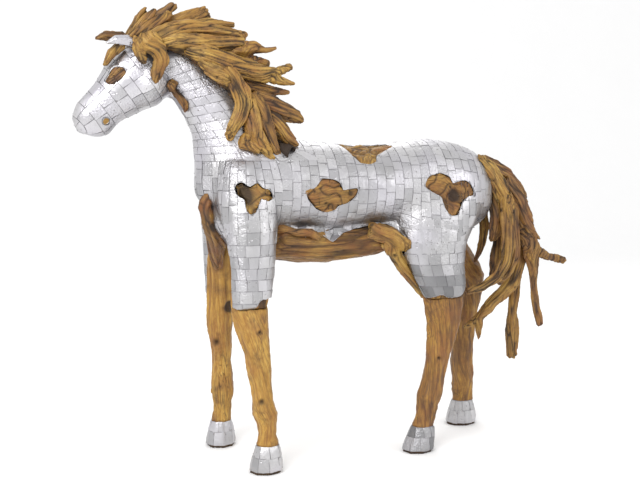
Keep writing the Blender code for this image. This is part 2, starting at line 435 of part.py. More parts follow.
def largest_island(obj):
    """Keep only the largest of the loose bodies that a cut leaves."""
    bm = bmesh.new()
    bm.from_mesh(obj.data)
    unseen = set(bm.verts)
    islands = []
    while unseen:
        island = set()
        edge_of_search = [unseen.pop()]
        while edge_of_search:
            vert = edge_of_search.pop()
            island.add(vert)
            for edge in vert.link_edges:
                other = edge.other_vert(vert)
                if other in unseen:
                    unseen.discard(other)
                    edge_of_search.append(other)
        islands.append(island)
    kept = max(islands, key=lambda island: sum(face.calc_area() for vert in island
                                               for face in vert.link_faces))
    loose = [vert for island in islands if island is not kept for vert in island]
    bmesh.ops.delete(bm, geom=loose, context="VERTS")
    bm.to_mesh(obj.data)
    bm.free()
    return levelled(obj)


def levelled(obj):
    """Join the level faces that cuts leave, where the skin stays closed."""
    bm = bmesh.new()
    bm.from_mesh(obj.data)
    bmesh.ops.dissolve_limit(bm, angle_limit=LEVEL_ANGLE, verts=bm.verts, edges=bm.edges)
    bmesh.ops.triangulate(bm, faces=bm.faces, ngon_method="EAR_CLIP")
    if all(edge.is_manifold for edge in bm.edges):
        bm.to_mesh(obj.data)
    bm.free()
    return obj


def corners(obj):
    """Lowest and highest corner of an object's box."""
    places = [vert.co for vert in obj.data.vertices]
    low = Vector(min(place[axis] for place in places) for axis in range(3))
    high = Vector(max(place[axis] for place in places) for axis in range(3))
    return low, high


def near(one, other):
    """Whether the boxes of two objects come within the gap of each other."""
    low, high = corners(one)
    other_low, other_high = corners(other)
    reach = 2 * FIT_GAP
    return all(low[axis] < other_high[axis] + reach and other_low[axis] < high[axis] + reach
               for axis in range(3))


def fitted(obj, keepouts):
    """Cut a piece back to the grown skins of the pieces that it lies against."""
    for keepout in keepouts:
        if near(obj, keepout):
            carve(obj, keepout, "DIFFERENCE")
    return largest_island(obj)


def root(name, limbs, home, bench, keepouts, sides=5, rough=0.12, face=LEFT):
    """A wooden root: one limb with any further limbs grown into it, cut to fit what is there.

    Its own skins, grown by the gap, join the keepouts that later pieces are cut back to.
    """
    skins = []
    for number, stations in enumerate(limbs):
        bm = bmesh.new()
        add_limb(bm, stations, sides, face=face, rough=rough, seed=f"{name}{number}", blunt=(0, 0.45))
        skins.append(as_object(f"{name}_skin_{number}", bm, bench))
    piece = duplicate(skins[0], home)
    piece.name = name
    for skin in skins[1:]:
        carve(piece, skin, "UNION")
    fitted(piece, keepouts)
    keepouts.extend(grown(skin, FIT_GAP, bench) for skin in skins)
    return wooden(piece)


def prism(name, outline, start, end, home, tilt=0.0, middle=Vector((0, 0, 0))):
    """A straight block through an outline, from y = start to y = end, then tilted back about X."""
    bm = bmesh.new()
    flat = bm.faces.new([bm.verts.new((x * UNIT, start, z * UNIT)) for x, z in outline])
    raised = bmesh.ops.extrude_face_region(bm, geom=[flat])
    lifted = [item for item in raised["geom"] if isinstance(item, bmesh.types.BMVert)]
    bmesh.ops.translate(bm, verts=lifted, vec=(0, end - start, 0))
    turn = Matrix.Translation(middle * UNIT) @ Matrix.Rotation(tilt, 4, "X")
    bmesh.ops.transform(bm, matrix=turn, verts=bm.verts)
    return as_object(name, bm, home)


def clad_form(home):
    """The body's masses, melted into one skin with few faces."""
    bm = bmesh.new()
    add_limb(bm, TRUNK, 28, face=UP, heading=Vector((1, 0, 0)), steps=3)
    add_limb(bm, NECK, 24, steps=3)
    add_limb(bm, HEAD, 24, steps=3)
    add_limb(bm, CHEEK, 20, face=UP, heading=Vector((0, 1, 0)), steps=3)
    add_limb(bm, CHIN, 16, steps=3)
    add_limb(bm, BREAST, 20, steps=3)
    for shell in (FORE_SHELL_LEFT, FORE_SHELL_RIGHT, HIND_SHELL_LEFT, HIND_SHELL_RIGHT):
        add_limb(bm, shell, 22, heading=DOWN, steps=3, blunt=(0, 0))
    form = as_object("clad_body", bm, home)
    melt = form.modifiers.new("melt", "REMESH")
    melt.mode = "VOXEL"
    melt.voxel_size = CLAD_GRAIN
    ease = form.modifiers.new("ease", "SMOOTH")
    ease.factor = 0.5
    ease.iterations = 6
    thin = form.modifiers.new("thin", "DECIMATE")
    thin.ratio = CLAD_DETAIL
    return metallic(baked(form))


def sunk(form, push, bench):
    """A copy of the body moved by push, whose face an inlay takes."""
    copy = duplicate(form, bench)
    copy.data.transform(Matrix.Translation(push))
    return copy


def inlay(name, outline, body, form, home, bench, side=-1, face_at=11.0, tilt=0.0, middle=(0, 0, 0)):
    """Cut a pocket in the body and set a wooden inlay in it.

    face_at is how far out the cladding's face lies there, and side is -1 on the horse's left.
    """
    floor = side * (face_at * UNIT - INLAY_DEPTH)
    far = side * (face_at + 6.0) * UNIT
    block = prism(name, outline, floor, far, home, tilt, Vector(middle))
    carve(body, grown(block, FIT_GAP, bench), "DIFFERENCE")
    inward = Matrix.Rotation(tilt, 3, "X") @ Vector((0, -side * INLAY_RECESS, 0))
    carve(block, sunk(form, inward, bench), "INTERSECT")
    return wooden(largest_island(block))


def nostril_peg(name, side, body, form, home, bench):
    """A round peg in a bore of the muzzle."""
    place = Vector((-52.3, side * 2.7, 75.0)) * UNIT
    bm = bmesh.new()
    lie = Matrix.Translation(place) @ Matrix.Rotation(math.pi / 2, 4, "X")
    bmesh.ops.create_cone(bm, cap_ends=True, segments=14, radius1=PEG_DIAMETER / 2,
                          radius2=PEG_DIAMETER / 2, depth=2 * PEG_DEPTH, matrix=lie)
    peg = as_object(name, bm, home)
    carve(body, grown(peg, FIT_GAP, bench), "DIFFERENCE")
    carve(peg, sunk(form, Vector((0, -side * PEG_RECESS, 0)), bench), "INTERSECT")
    return wooden(largest_island(peg))


def hoof_stations(foot, wall):
    """Level rings of a hoof from its top to the ground, drawn in by a wall in metres."""
    _, x, y, half_length, half_width, setback = foot
    inset = wall / UNIT
    rings = []
    for height, share in ((HOOF_TOP, 0.66), (4.6, 0.78), (2.2, 0.92), (0.0, 1.0)):
        back = setback * height / HOOF_TOP
        rings.append((x + back, y, height, half_length * share - inset, half_width * share - inset))
    return rings


def leg_and_hoof(place, foot, home, bench, keepouts):
    """A bare leg that runs down to a flat sole, and the sleeve of sheet metal round its foot."""
    bm = bmesh.new()
    stations = list(foot[0]) + hoof_stations(foot, SHEET_METAL)
    add_limb(bm, stations, LEG_SIDES, heading=DOWN, rough=0.05, even=HOOF_TOP, seed=place, blunt=(0, 0))
    leg = as_object("leg_" + place, bm, home)
    skin = grown(leg, FIT_GAP, bench)
    fitted(leg, keepouts)

    bm = bmesh.new()
    add_limb(bm, hoof_stations(foot, 0.0), LEG_SIDES, heading=DOWN, blunt=(0, 0))
    top = Vector((foot[1], foot[2], HOOF_TOP - 0.7)) * UNIT
    for spot, facing in ((top, Vector((0.20, 0, 1)).normalized()), (Vector((0, 0, SOLE_REVEAL)), DOWN)):
        cut = bmesh.ops.bisect_plane(bm, geom=bm.verts[:] + bm.edges[:] + bm.faces[:],
                                     plane_co=spot, plane_no=facing, clear_outer=True)
        rim = [item for item in cut["geom_cut"] if isinstance(item, bmesh.types.BMEdge)]
        bmesh.ops.contextual_create(bm, geom=rim)
    hoof = as_object("hoof_" + place, bm, home)
    outer = grown(hoof, FIT_GAP, bench)
    fitted(hoof, [skin])
    keepouts.extend([skin, outer])
    wooden(leg)
    metallic(hoof)


def main():
    """Build every piece."""
    clear_scene()
    horse = collection("driftwood_horse")
    bench = collection("cutters")

    form = clad_form(bench)
    body = duplicate(form, horse)
    form.name = "form"
    body.name = "clad_body"
    keepouts = [grown(form, FIT_GAP, bench)]

    inlay("inlay_shoulder", SHOULDER_OUTLINE, body, form, horse, bench, face_at=11.2)
    inlay("inlay_flank", FLANK_OUTLINE, body, form, horse, bench, face_at=11.2)
    inlay("inlay_hip", HIP_OUTLINE, body, form, horse, bench, face_at=10.8)
    inlay("inlay_back", BACK_OUTLINE, body, form, horse, bench, face_at=0.0,
          tilt=math.radians(-48), middle=(2.0, -4.6, 68.6))
    inlay("inlay_hip_right", RIGHT_HIP_OUTLINE, body, form, horse, bench, side=1, face_at=10.8)
    inlay("eye_left", EYE_OUTLINE, body, form, horse, bench, face_at=3.9)
    inlay("eye_right", EYE_OUTLINE, body, form, horse, bench, side=1, face_at=3.9)
    nostril_peg("nostril_peg_left", -1, body, form, horse, bench)
    nostril_peg("nostril_peg_right", 1, body, form, horse, bench)
    metallic(largest_island(body))

    for place, foot in HOOVES.items():
        leg_and_hoof(place, foot, horse, bench, keepouts)

    around = (horse, bench, keepouts)
    root("belly_root", BELLY, *around, sides=8, face=UP, rough=0.05)
    root("stifle_root_left", STIFLE_LEFT, *around)
    root("stifle_root_right", STIFLE_RIGHT, *around)
    for name, limbs in SMALL_ROOTS.items():
        root(name, limbs, *around, rough=0.08)
    metallic(root("ear_left", [EAR_LEFT], *around, rough=0.02))
    root("crest_root", CREST, *around, sides=7, rough=0.06)
    for name, limbs in list(MANE.items()) + list(TAIL.items()):
        root(name, limbs, *around)

    for tool in list(bench.objects):
        bpy.data.objects.remove(tool, do_unlink=True)


main()
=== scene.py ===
"""The looks of the driftwood horse sculpture: nailed squares of bright sheet over a form of teak roots.

Places read (x, y, z) in units of a hundredth of the statue's height, with the horse facing -X and its
left side towards -Y. Wall thicknesses, gaps, nails and other made sizes are in metres.
"""

import heapq
import itertools
import math
import random

import bmesh
import bpy
import numpy as np
from mathutils import Matrix, Vector, noise
from mathutils.bvhtree import BVHTree


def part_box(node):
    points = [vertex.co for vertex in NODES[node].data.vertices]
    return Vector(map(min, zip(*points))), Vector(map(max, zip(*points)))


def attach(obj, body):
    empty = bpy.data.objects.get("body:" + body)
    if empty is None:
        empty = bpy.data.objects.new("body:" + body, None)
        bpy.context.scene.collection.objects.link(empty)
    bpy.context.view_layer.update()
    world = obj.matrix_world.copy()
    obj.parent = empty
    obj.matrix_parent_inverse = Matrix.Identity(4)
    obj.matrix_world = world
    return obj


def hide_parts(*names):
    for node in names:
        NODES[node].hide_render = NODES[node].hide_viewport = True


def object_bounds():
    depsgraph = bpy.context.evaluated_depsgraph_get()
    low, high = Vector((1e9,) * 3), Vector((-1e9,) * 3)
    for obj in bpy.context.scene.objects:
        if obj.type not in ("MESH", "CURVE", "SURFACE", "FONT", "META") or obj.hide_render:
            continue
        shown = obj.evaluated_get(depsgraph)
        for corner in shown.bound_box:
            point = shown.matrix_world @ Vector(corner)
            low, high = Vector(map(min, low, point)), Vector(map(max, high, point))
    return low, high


bl_info = {
    "name": "Driftwood Horse",
    "version": (1, 0, 0),
    "blender": (4, 5, 0),
    "location": "3D View > Sidebar > Horse",
    "description": "Nailed metal squares and carved teak roots for a standing driftwood horse",
    "category": "Object",
}

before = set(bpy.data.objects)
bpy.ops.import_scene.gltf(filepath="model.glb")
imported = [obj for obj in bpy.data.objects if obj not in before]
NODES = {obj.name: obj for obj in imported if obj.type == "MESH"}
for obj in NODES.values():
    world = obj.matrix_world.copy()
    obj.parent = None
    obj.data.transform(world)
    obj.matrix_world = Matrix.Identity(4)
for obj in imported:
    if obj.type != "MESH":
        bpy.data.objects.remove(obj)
CAD_BOX = [list(corner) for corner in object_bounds()]
UNIT = CAD_BOX[1][2] / 100
MERGE = 1e-5
NOISE_SEED = 7

HOOVES = ("hoof_front_left", "hoof_front_right", "hoof_hind_left", "hoof_hind_right")
LEGS = ("leg_front_left", "leg_front_right", "leg_hind_left", "leg_hind_right")
INLAYS = ("inlay_shoulder", "inlay_flank", "inlay_hip", "inlay_back", "inlay_hip_right")
EYES = ("eye_left", "eye_right")
PEGS = ("nostril_peg_left", "nostril_peg_right")
BODY_ROOTS = ("belly_root", "belly_branch", "stifle_root_left", "stifle_root_right", "chest_root",
              "throat_root", "brow_root", "ear_right")


# Shader nodes

class Wire:
    """An output of a material's nodes that takes part in plain arithmetic."""

    def __init__(self, paint, socket):
        self.paint = paint
        self.socket = socket

    def joined(self, operation, left, right):
        return self.paint.node("ShaderNodeMath", {"operation": operation}, {0: left, 1: right})

    def __add__(self, other):
        return self.joined("ADD", self, other)

    __radd__ = __add__

    def __sub__(self, other):
        return self.joined("SUBTRACT", self, other)

    def __mul__(self, other):
        return self.joined("MULTIPLY", self, other)

    __rmul__ = __mul__

    def __pow__(self, other):
        return self.joined("POWER", self, other)

    def span(self, low, high):
        """This value stretched so that low reads 0 and high reads 1, held to that range."""
        return self.paint.node("ShaderNodeMapRange", {"clamp": True}, {0: self, 1: low, 2: high})


class Paint:
    """A material of one Principled BSDF, and the one way in which its nodes are made."""

    def __init__(self, name, metallic=0.0, roughness=0.5):
        self.material = bpy.data.materials.new(name)
        self.material.use_nodes = True
        self.shader = self.material.node_tree.nodes["Principled BSDF"]
        self.shader.inputs["Metallic"].default_value = metallic
        self.shader.inputs["Roughness"].default_value = roughness

    def feed(self, socket, value):
        """Link a wire to a socket, or set the socket to a plain value."""
        if isinstance(value, Wire):
            self.material.node_tree.links.new(value.socket, socket)
        else:
            socket.default_value = value

    def node(self, kind, settings=None, sockets=None, output=0):
        """Make a node, set it up, then set or link its sockets."""
        made = self.material.node_tree.nodes.new(kind)
        for key, value in (settings or {}).items():
            if key == "stops":
                self.set_stops(made.color_ramp, value)
            else:
                setattr(made, key, value)
        for key, value in (sockets or {}).items():
            self.feed(made.inputs[key], value)
        return Wire(self, made.outputs[output])

    @staticmethod
    def set_stops(ramp, stops):
        """Give a ramp these (place, colour) stops."""
        while len(ramp.elements) < len(stops):
            ramp.elements.new(1.0)
        for element, (place, colour) in zip(ramp.elements, stops):
            element.position = place
            element.color = (*colour, 1.0)

    def place(self):
        """Where a point is in the object, in metres."""
        return self.node("ShaderNodeTexCoord", output=3)

    def attribute(self, name, output=2):
        """An attribute of the mesh: output 1 is its vector, output 2 its value."""
        return self.node("ShaderNodeAttribute", {"attribute_name": name}, output=output)

    def stretched(self, vector, scale):
        """A vector with each part multiplied by its own number."""
        return self.node("ShaderNodeVectorMath", {"operation": "MULTIPLY"}, {0: vector, 1: scale})

    def parts(self, vector):
        """The three parts of a vector."""
        split = self.node("ShaderNodeSeparateXYZ", sockets={0: vector})
        return [Wire(self, socket) for socket in split.socket.node.outputs]

    def clouds(self, vector, scale, detail=2.0, rough=0.5):
        """Soft noise from 0 to 1."""
        sockets = {"Vector": vector, "Scale": scale, "Detail": detail, "Roughness": rough}
        return self.node("ShaderNodeTexNoise", sockets=sockets)

    def mix(self, share, first, second):
        """A colour between two others."""
        return self.node("ShaderNodeMix", {"data_type": "RGBA"}, {0: share, 6: first, 7: second}, output=2)

    def ramp(self, value, stops):
        """A colour read from stops."""
        return self.node("ShaderNodeValToRGB", {"stops": stops}, {0: value})

    def bump(self, height, depth):
        """Raise the surface by a height of 0 to 1 times a depth in metres."""
        sockets = {"Height": height, "Distance": depth, "Strength": 1.0}
        self.feed(self.shader.inputs["Normal"], self.node("ShaderNodeBump", sockets=sockets))

    def finish(self, colour, roughness=None):
        """Link the main sockets and hand over the material."""
        self.feed(self.shader.inputs["Base Color"], colour)
        if roughness is not None:
            self.feed(self.shader.inputs["Roughness"], roughness)
        return self.material


def rgba(colour):
    """A colour property as a socket takes it."""
    return (*colour, 1.0)


def sheet_paint(name, settings):
    """Hand-cut hammered sheet: each square has its own tone, with painted shade worked into it, and grime
    along its edges.
    """
    paint = Paint(name, metallic=1.0)
    along, across, tone = paint.parts(paint.attribute("sheet", 1))
    place = paint.place()
    edge = paint.node("ShaderNodeMath", {"operation": "MAXIMUM"},
                      {0: (along - 0.5) * (along - 0.5), 1: (across - 0.5) * (across - 0.5)})
    grime = edge.span(0.205, 0.25) * paint.clouds(place, 60.0, 3.0).span(0.45, 0.75)
    # the tone holds each square's own brightness and its painted shade, which runs towards the dull sheet's
    # colour
    tint = paint.mix(tone, rgba(settings.sheet_dark), rgba(settings.sheet_light))
    patches = paint.clouds(place, 7.0, 1.0).span(0.4, 0.7) * tone
    cast = paint.mix(patches, tint, rgba(settings.sheet_cast))
    colour = paint.mix(grime * 0.55, cast, rgba(settings.grime))
    smears = paint.clouds(paint.stretched(place, (1.0, 1.0, 0.35)), 90.0, 4.0, 0.6)
    roughness = 0.26 + 0.16 * smears + 0.06 * tone + 0.25 * grime
    dents = paint.clouds(place, 42.0, 2.0, 0.45)
    creased = paint.clouds(place, 5.5, 2.0).span(0.42, 0.62) * paint.clouds(place, 130.0, 3.0, 0.55)
    blows = paint.node("ShaderNodeTexVoronoi", {"feature": "F1"}, {"Vector": place, "Scale": 58.0})
    pits = blows.span(0.26, 0.1) * paint.clouds(place, 16.0, 2.0).span(0.44, 0.56)
    paint.bump(1.1 * dents + 2.1 * creased - 0.55 * pits + 0.07 * smears, settings.dent_depth)
    return paint.finish(paint.mix(pits * 0.3, colour, rgba(settings.grime)), roughness)


def seam_shade_paint(name, settings):
    """The sheet that shows in the seams between the squares, dark as painted shade in the seams."""
    paint = Paint(name, metallic=0.85, roughness=0.5)
    mottle = paint.clouds(paint.place(), 30.0, 3.0)
    return paint.finish(paint.mix(mottle, rgba(settings.seam_shade_dark), rgba(settings.seam_shade_light)))


def nail_paint(name, settings):
    """Steel nail heads, dark with handling."""
    paint = Paint(name, metallic=1.0, roughness=0.38)
    mottle = paint.clouds(paint.place(), 400.0, 1.0)
    return paint.finish(paint.mix(mottle, rgba(settings.nail_colour), rgba(settings.grime)))


def wood_paint(name, settings, shade, warm):
    """Oiled teak root: streaks along the grain, painted shade in its splits and hollows, and pale ridges that
    are rubbed and carry a painted highlight.
    """
    paint = Paint(name)
    grain = paint.attribute("grain", 1)
    hollow = paint.attribute("hollow")
    tint = paint.attribute("tint")
    streaks = paint.clouds(paint.stretched(grain, (95.0, 95.0, 9.0)), 1.0, 5.0, 0.66)
    bands = paint.clouds(paint.stretched(grain, (15.0, 15.0, 5.0)), 1.0, 3.0, 0.55)
    fibres = paint.clouds(paint.stretched(grain, (420.0, 420.0, 20.0)), 1.0, 3.0, 0.55)
    patches = paint.clouds(paint.place(), 9.0, 3.0, 0.6)
    edges = paint.node("ShaderNodeTexVoronoi", {"feature": "DISTANCE_TO_EDGE"},
                       {"Vector": paint.stretched(grain, (120.0, 120.0, 6.0)), "Scale": 1.0})
    lines = edges.span(0.09, 0.0) * bands.span(0.42, 0.62)
    blend = 0.42 * streaks + 0.35 * bands + 0.23 * fibres + 0.16 * (tint - 0.5)
    streaked = (settings.wood_dark, settings.wood_mid, settings.wood_light, settings.wood_pale_and_highlight)
    dark, mid, light, pale = (tuple(part * shade for part in colour) for colour in streaked)
    body = paint.ramp(blend, ((0.34, dark), (0.43, mid), (0.52, light), (0.64, pale)))
    red = paint.mix(patches.span(0.46, 0.66) * (0.55 + warm), body, rgba(settings.wood_red))
    # paler on the ridges, away from the hollows: rubbed wood, with a painted highlight
    painted_light = paint.mix(hollow.span(0.12, 0.0) * streaks.span(0.4, 0.7) * 0.35, red, rgba(settings.wood_pale_and_highlight))
    stained = paint.mix(paint.clouds(paint.place(), 14.0, 4.0, 0.65).span(0.5, 0.7) * 0.6, painted_light,
                        rgba(settings.wood_stain))
    lined = paint.mix(lines * 0.7, stained, rgba(settings.wood_dark))
    # painted shade: near black deep in the splits, creases and hollows
    deep = hollow.span(0.12, 0.6)
    colour = paint.mix(deep * 0.9, lined, rgba(settings.wood_crack_shade))
    roughness = 0.46 + 0.18 * fibres + 0.2 * deep
    paint.bump(0.45 * fibres + 0.35 * streaks - 0.5 * lines, settings.fibre_depth)
    return paint.finish(colour, roughness)


def end_grain_paint(name, settings):
    """Sawn end of a root, with rings."""
    paint = Paint(name, roughness=0.6)
    grain = paint.attribute("grain", 1)
    across, up, _ = paint.parts(grain)
    reach = (across * across + up * up) ** 0.5
    rings = paint.node("ShaderNodeMath", {"operation": "SINE"}, {0: reach * 2600.0})
    speck = paint.clouds(paint.stretched(grain, (300.0, 300.0, 60.0)), 1.0, 2.0)
    light = (rings * 0.25 + speck).span(0.2, 0.9)
    colour = paint.mix(light, rgba(settings.wood_mid), rgba(settings.wood_pale_and_highlight))
    paint.bump(speck, settings.fibre_depth)
    return paint.finish(colour)


def plain_paint(name, colour, roughness):
    """One even coat with a faint mottle."""
    paint = Paint(name)
    mottle = paint.clouds(paint.place(), 2.0, 2.0)
    light = tuple(min(1.0, part * 1.02) for part in colour)
    return paint.finish(paint.mix(mottle, rgba(colour), rgba(light)), roughness)


# Meshes

def as_object(name, bm):
    """Turn a bmesh into an object in the scene, smooth all over."""
    mesh = bpy.data.meshes.new(name)
    bm.to_mesh(mesh)
    bm.free()
    obj = bpy.data.objects.new(name, mesh)
    bpy.context.scene.collection.objects.link(obj)
    mesh.polygons.foreach_set("use_smooth", [True] * len(mesh.polygons))
    return obj


def baked(obj):
    """Put an object's evaluated shape in place of its mesh and modifiers."""
    graph = bpy.context.evaluated_depsgraph_get()
    mesh = bpy.data.meshes.new_from_object(obj.evaluated_get(graph))
    obj.modifiers.clear()
    obj.data = mesh
    return obj


def dressed(obj, material, slot, *nodes):
    """Paint a finished piece, let it ride on the statue and stand for its CAD nodes."""
    obj.data.materials.clear()
    obj.data.materials.append(material)
    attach(obj, "root")
    if nodes:
        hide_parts(*nodes)
    return obj


def merged_copy(names):
    """One bmesh with copies of CAD nodes, welded where their loose triangles meet."""
    bm = bmesh.new()
    for name in names:
        bm.from_mesh(NODES[name].data)
    bmesh.ops.remove_doubles(bm, verts=bm.verts, dist=MERGE)
    return bm


# Where a root closes over a gap that its CAD node leaves round another node: middle and half sizes in
# units, and how far the plug of wood leans, in degrees
PLUGS = {"crest_root": ((-19.2, 0.0, 76.5), (4.1, 2.9, 1.4), 45.0)}


def remeshed(name, names, voxel, ease):
    """One closed skin of even faces round CAD nodes, with their facets eased."""
    bm = merged_copy(names)
    for middle, sizes, lean in (PLUGS[owner] for owner in names if owner in PLUGS):
        place = (Matrix.Translation(Vector(middle) * UNIT) @ Matrix.Rotation(math.radians(lean), 4, "Y")
                 @ Matrix.Diagonal((*sizes, 1)))
        bmesh.ops.create_icosphere(bm, subdivisions=3, radius=UNIT, matrix=place)
    obj = as_object(name, bm)
    remesh = obj.modifiers.new("remesh", "REMESH")
    remesh.mode = "VOXEL"
    remesh.voxel_size = voxel
    smooth = obj.modifiers.new("ease", "SMOOTH")
    smooth.factor = 0.5
    smooth.iterations = ease
    return baked(obj)


def coordinates(mesh):
    """The places of a mesh's vertices as an array."""
    places = np.empty(len(mesh.vertices) * 3)
    mesh.vertices.foreach_get("co", places)
    return places.reshape(-1, 3)


def normals(mesh):
    """The normals of a mesh's vertices as an array."""
    ways = np.empty(len(mesh.vertices) * 3)
    mesh.vertex_normals.foreach_get("vector", ways)
    return ways.reshape(-1, 3)


def put_back(mesh, places):
    """Move a mesh's vertices to these places."""
    mesh.vertices.foreach_set("co", np.asarray(places).ravel())
    mesh.update()


def store(mesh, name, kind, values):
    """Keep values on the vertices for the shader."""
    layer = mesh.attributes.new(name, kind, "POINT")
    key = "vector" if kind == "FLOAT_VECTOR" else "value"
    layer.data.foreach_set(key, np.asarray(values, np.float32).ravel())


def tree_of(names):
    """A ray-casting tree of CAD nodes."""
    bm = merged_copy(names)
    tree = BVHTree.FromBMesh(bm)
    bm.free()
    return tree


def tree_round(obj):
    """A ray-casting tree of an object."""
    return BVHTree.FromPolygons([vert.co for vert in obj.data.vertices],
                                [face.vertices for face in obj.data.polygons])


# Squares of sheet

class Sleeve:
    """Where a skin lies round a line of centres, kept as rings of rays.

    A station reads (x, y, z, lean, splay): the centre of a ring, how many degrees its plane leans from
    level, and how many degrees its rays swing out of that plane. Every plane holds the Y axis.
    """

    ROWS_EACH = 36      # rings from one station to the next
    RAYS = 180          # rays in a ring
    LONGEST = 1.8       # a ray this many times as long as most of its ring's has missed the part
    OFF_SKIN = 0.007    # how far off the skin a square may be, in metres

    def __init__(self, tree, stations):
        self.tree = tree
        items = range(5)
        line = np.array(stations, float)
        line[:, :3] *= UNIT
        stops = np.linspace(0, len(line) - 1, (len(line) - 1) * self.ROWS_EACH + 1)
        rings = np.stack([np.interp(stops, np.arange(len(line)), line[:, item]) for item in items], axis=1)
        self.points = np.zeros((len(rings), self.RAYS, 3))
        self.ways = np.zeros((len(rings), self.RAYS, 3))
        lean = math.radians(line[0, 3])
        ahead = (-math.sin(lean), 0, math.cos(lean))
        self.inside_out = float((line[1, :3] - line[0, :3]) @ np.array(ahead)) < 0
        spans = np.full(self.RAYS, UNIT)
        for row, (x, y, z, lean, splay) in enumerate(rings):
            centre = Vector((x, y, z))
            level = Vector((math.cos(math.radians(lean)), 0, math.sin(math.radians(lean))))
            ahead = level.cross(Vector((0, 1, 0))) * math.sin(math.radians(splay))
            turns = [2 * math.pi * ray / self.RAYS for ray in range(self.RAYS)]
            flats = [level * math.cos(turn) + Vector((0, math.sin(turn), 0)) for turn in turns]
            headings = [flat * math.cos(math.radians(splay)) + ahead for flat in flats]
            hits = [tree.ray_cast(centre, heading) for heading in headings]
            found = np.array([hit[3] if hit[0] else math.inf for hit in hits])
            usual = np.median(found[np.isfinite(found)]) if np.isfinite(found).any() else UNIT
            missed = ~(found < self.LONGEST * usual)
            spans = np.where(missed, spans if row else usual, found)
            self.points[row] = np.array(centre) + np.array(headings) * spans[:, None]
            self.ways[row] = [heading if lost else hit[1]
                              for heading, hit, lost in zip(headings, hits, missed)]
        steps = np.median(np.linalg.norm(np.diff(self.points, axis=0), axis=2), axis=1)
        self.reached = np.concatenate(([0.0], np.cumsum(steps)))
        self.length = self.reached[-1]

    def strays(self, squares):
        """Which squares don't lie on the skin, as where a ring of rays has lost it."""
        far = np.zeros(len(squares), bool)
        low, high, first, last = squares.T
        for along, across in itertools.product(CENTRE_PROBES, repeat=2):
            places, _ = self.at(low + (high - low) * along, first + (last - first) * across)
            gaps = [self.tree.find_nearest(Vector(place))[3] for place in places]
            far |= np.array(gaps) > self.OFF_SKIN
        return far

    def row_at(self, reach):
        """The row, with its fraction, that lies this many metres along the skin."""
        return np.interp(reach, self.reached, np.arange(len(self.reached)))

    def at(self, reach, turn):
        """Places and outward ways at arrays of metres along the skin and shares of a turn."""
        row = np.minimum(self.row_at(reach), len(self.points) - 1.001)
        ray = (turn % 1.0) * self.RAYS
        row_low, ray_low = row.astype(int), ray.astype(int) % self.RAYS
        row_share, ray_share = (row - row_low)[..., None], (ray - np.floor(ray))[..., None]
        row_high, ray_high = row_low + 1, (ray_low + 1) % self.RAYS

        def blended(table):
            low = table[row_low, ray_low] * (1 - ray_share) + table[row_low, ray_high] * ray_share
            high = table[row_high, ray_low] * (1 - ray_share) + table[row_high, ray_high] * ray_share
            return low * (1 - row_share) + high * row_share

        ways = blended(self.ways)
        lengths = np.linalg.norm(ways, axis=-1, keepdims=True)
        return blended(self.points), ways / np.maximum(lengths, 1e-6)

    def girth(self, reach):
        """How far it is round the skin at a place along it, ray by ray."""
        row = int(round(float(self.row_at(reach))))
        ring = np.vstack((self.points[row], self.points[row][:1]))
        return np.concatenate(([0.0], np.cumsum(np.linalg.norm(np.diff(ring, axis=0), axis=1))))

    def turns(self, reach, shares):
        """Turns at these shares of the girth, which may run past 1."""
        around = self.girth(reach)
        whole = np.floor(shares)
        return whole + np.interp((shares - whole) * around[-1], around, np.linspace(0, 1, self.RAYS + 1))


LEAST_COUNT = 4         # squares round a ring at the least
ROW_JITTER, COLUMN_JITTER = 0.16, 0.12      # how unevenly they share it, as a share of a square
ROW_SPREAD, COLUMN_SPREAD = 0.1, 0.18       # how unevenly they are cut along the skin
LEAST_END = 0.45        # an end piece shorter than this share of a step is left on its neighbour


def cuts_along(length, start, step, spread, dice):
    """Places at which a length is cut into pieces of about a step, with no short end pieces."""
    cuts = [start]
    while cuts[-1] < length:
        cuts.append(cuts[-1] + step * dice.uniform(1 - spread, 1 + spread))
    inner = [cut for cut in cuts if LEAST_END * step < cut < length - LEAST_END * step]
    return [0.0] + inner + [length]


def in_rows(sleeve, height, length, dice):
    """Squares laid brick-wise in rings, each as (low, high, first turn, last turn)."""
    squares = []
    cuts = cuts_along(sleeve.length, 0.0, height, ROW_SPREAD, dice)
    for low, high in zip(cuts, cuts[1:]):
        middle = (low + high) / 2
        count = max(LEAST_COUNT, round(sleeve.girth(middle)[-1] / length))
        jitter = np.array([dice.uniform(-ROW_JITTER, ROW_JITTER) for _ in range(count)])
        shares = dice.random() + (np.arange(count) + jitter) / count
        turns = sleeve.turns(middle, np.append(shares, shares[0] + 1))
        squares += [(low, high, first, last) for first, last in zip(turns, turns[1:])]
    return squares


def in_columns(sleeve, width, length, dice):
    """Squares laid brick-wise in strips along the line, each as (low, high, first turn, last turn)."""
    squares = []
    middle = sleeve.length / 2
    count = max(LEAST_COUNT, round(sleeve.girth(middle)[-1] / width))
    jitter = np.array([dice.uniform(-COLUMN_JITTER, COLUMN_JITTER) for _ in range(count)])
    shares = (np.arange(count) + jitter) / count
    turns = sleeve.turns(middle, np.append(shares, shares[0] + 1))
    for first, last in zip(turns, turns[1:]):
        cuts = cuts_along(sleeve.length, -length * dice.random(), length, COLUMN_SPREAD, dice)
        squares += [(low, high, first, last) for low, high in zip(cuts, cuts[1:])]
    return squares


def as_template(name, bm):
    """A mesh that is copied many times and then thrown away."""
    mesh = bpy.data.meshes.new(name)
    bm.to_mesh(mesh)
    bm.free()
    return mesh


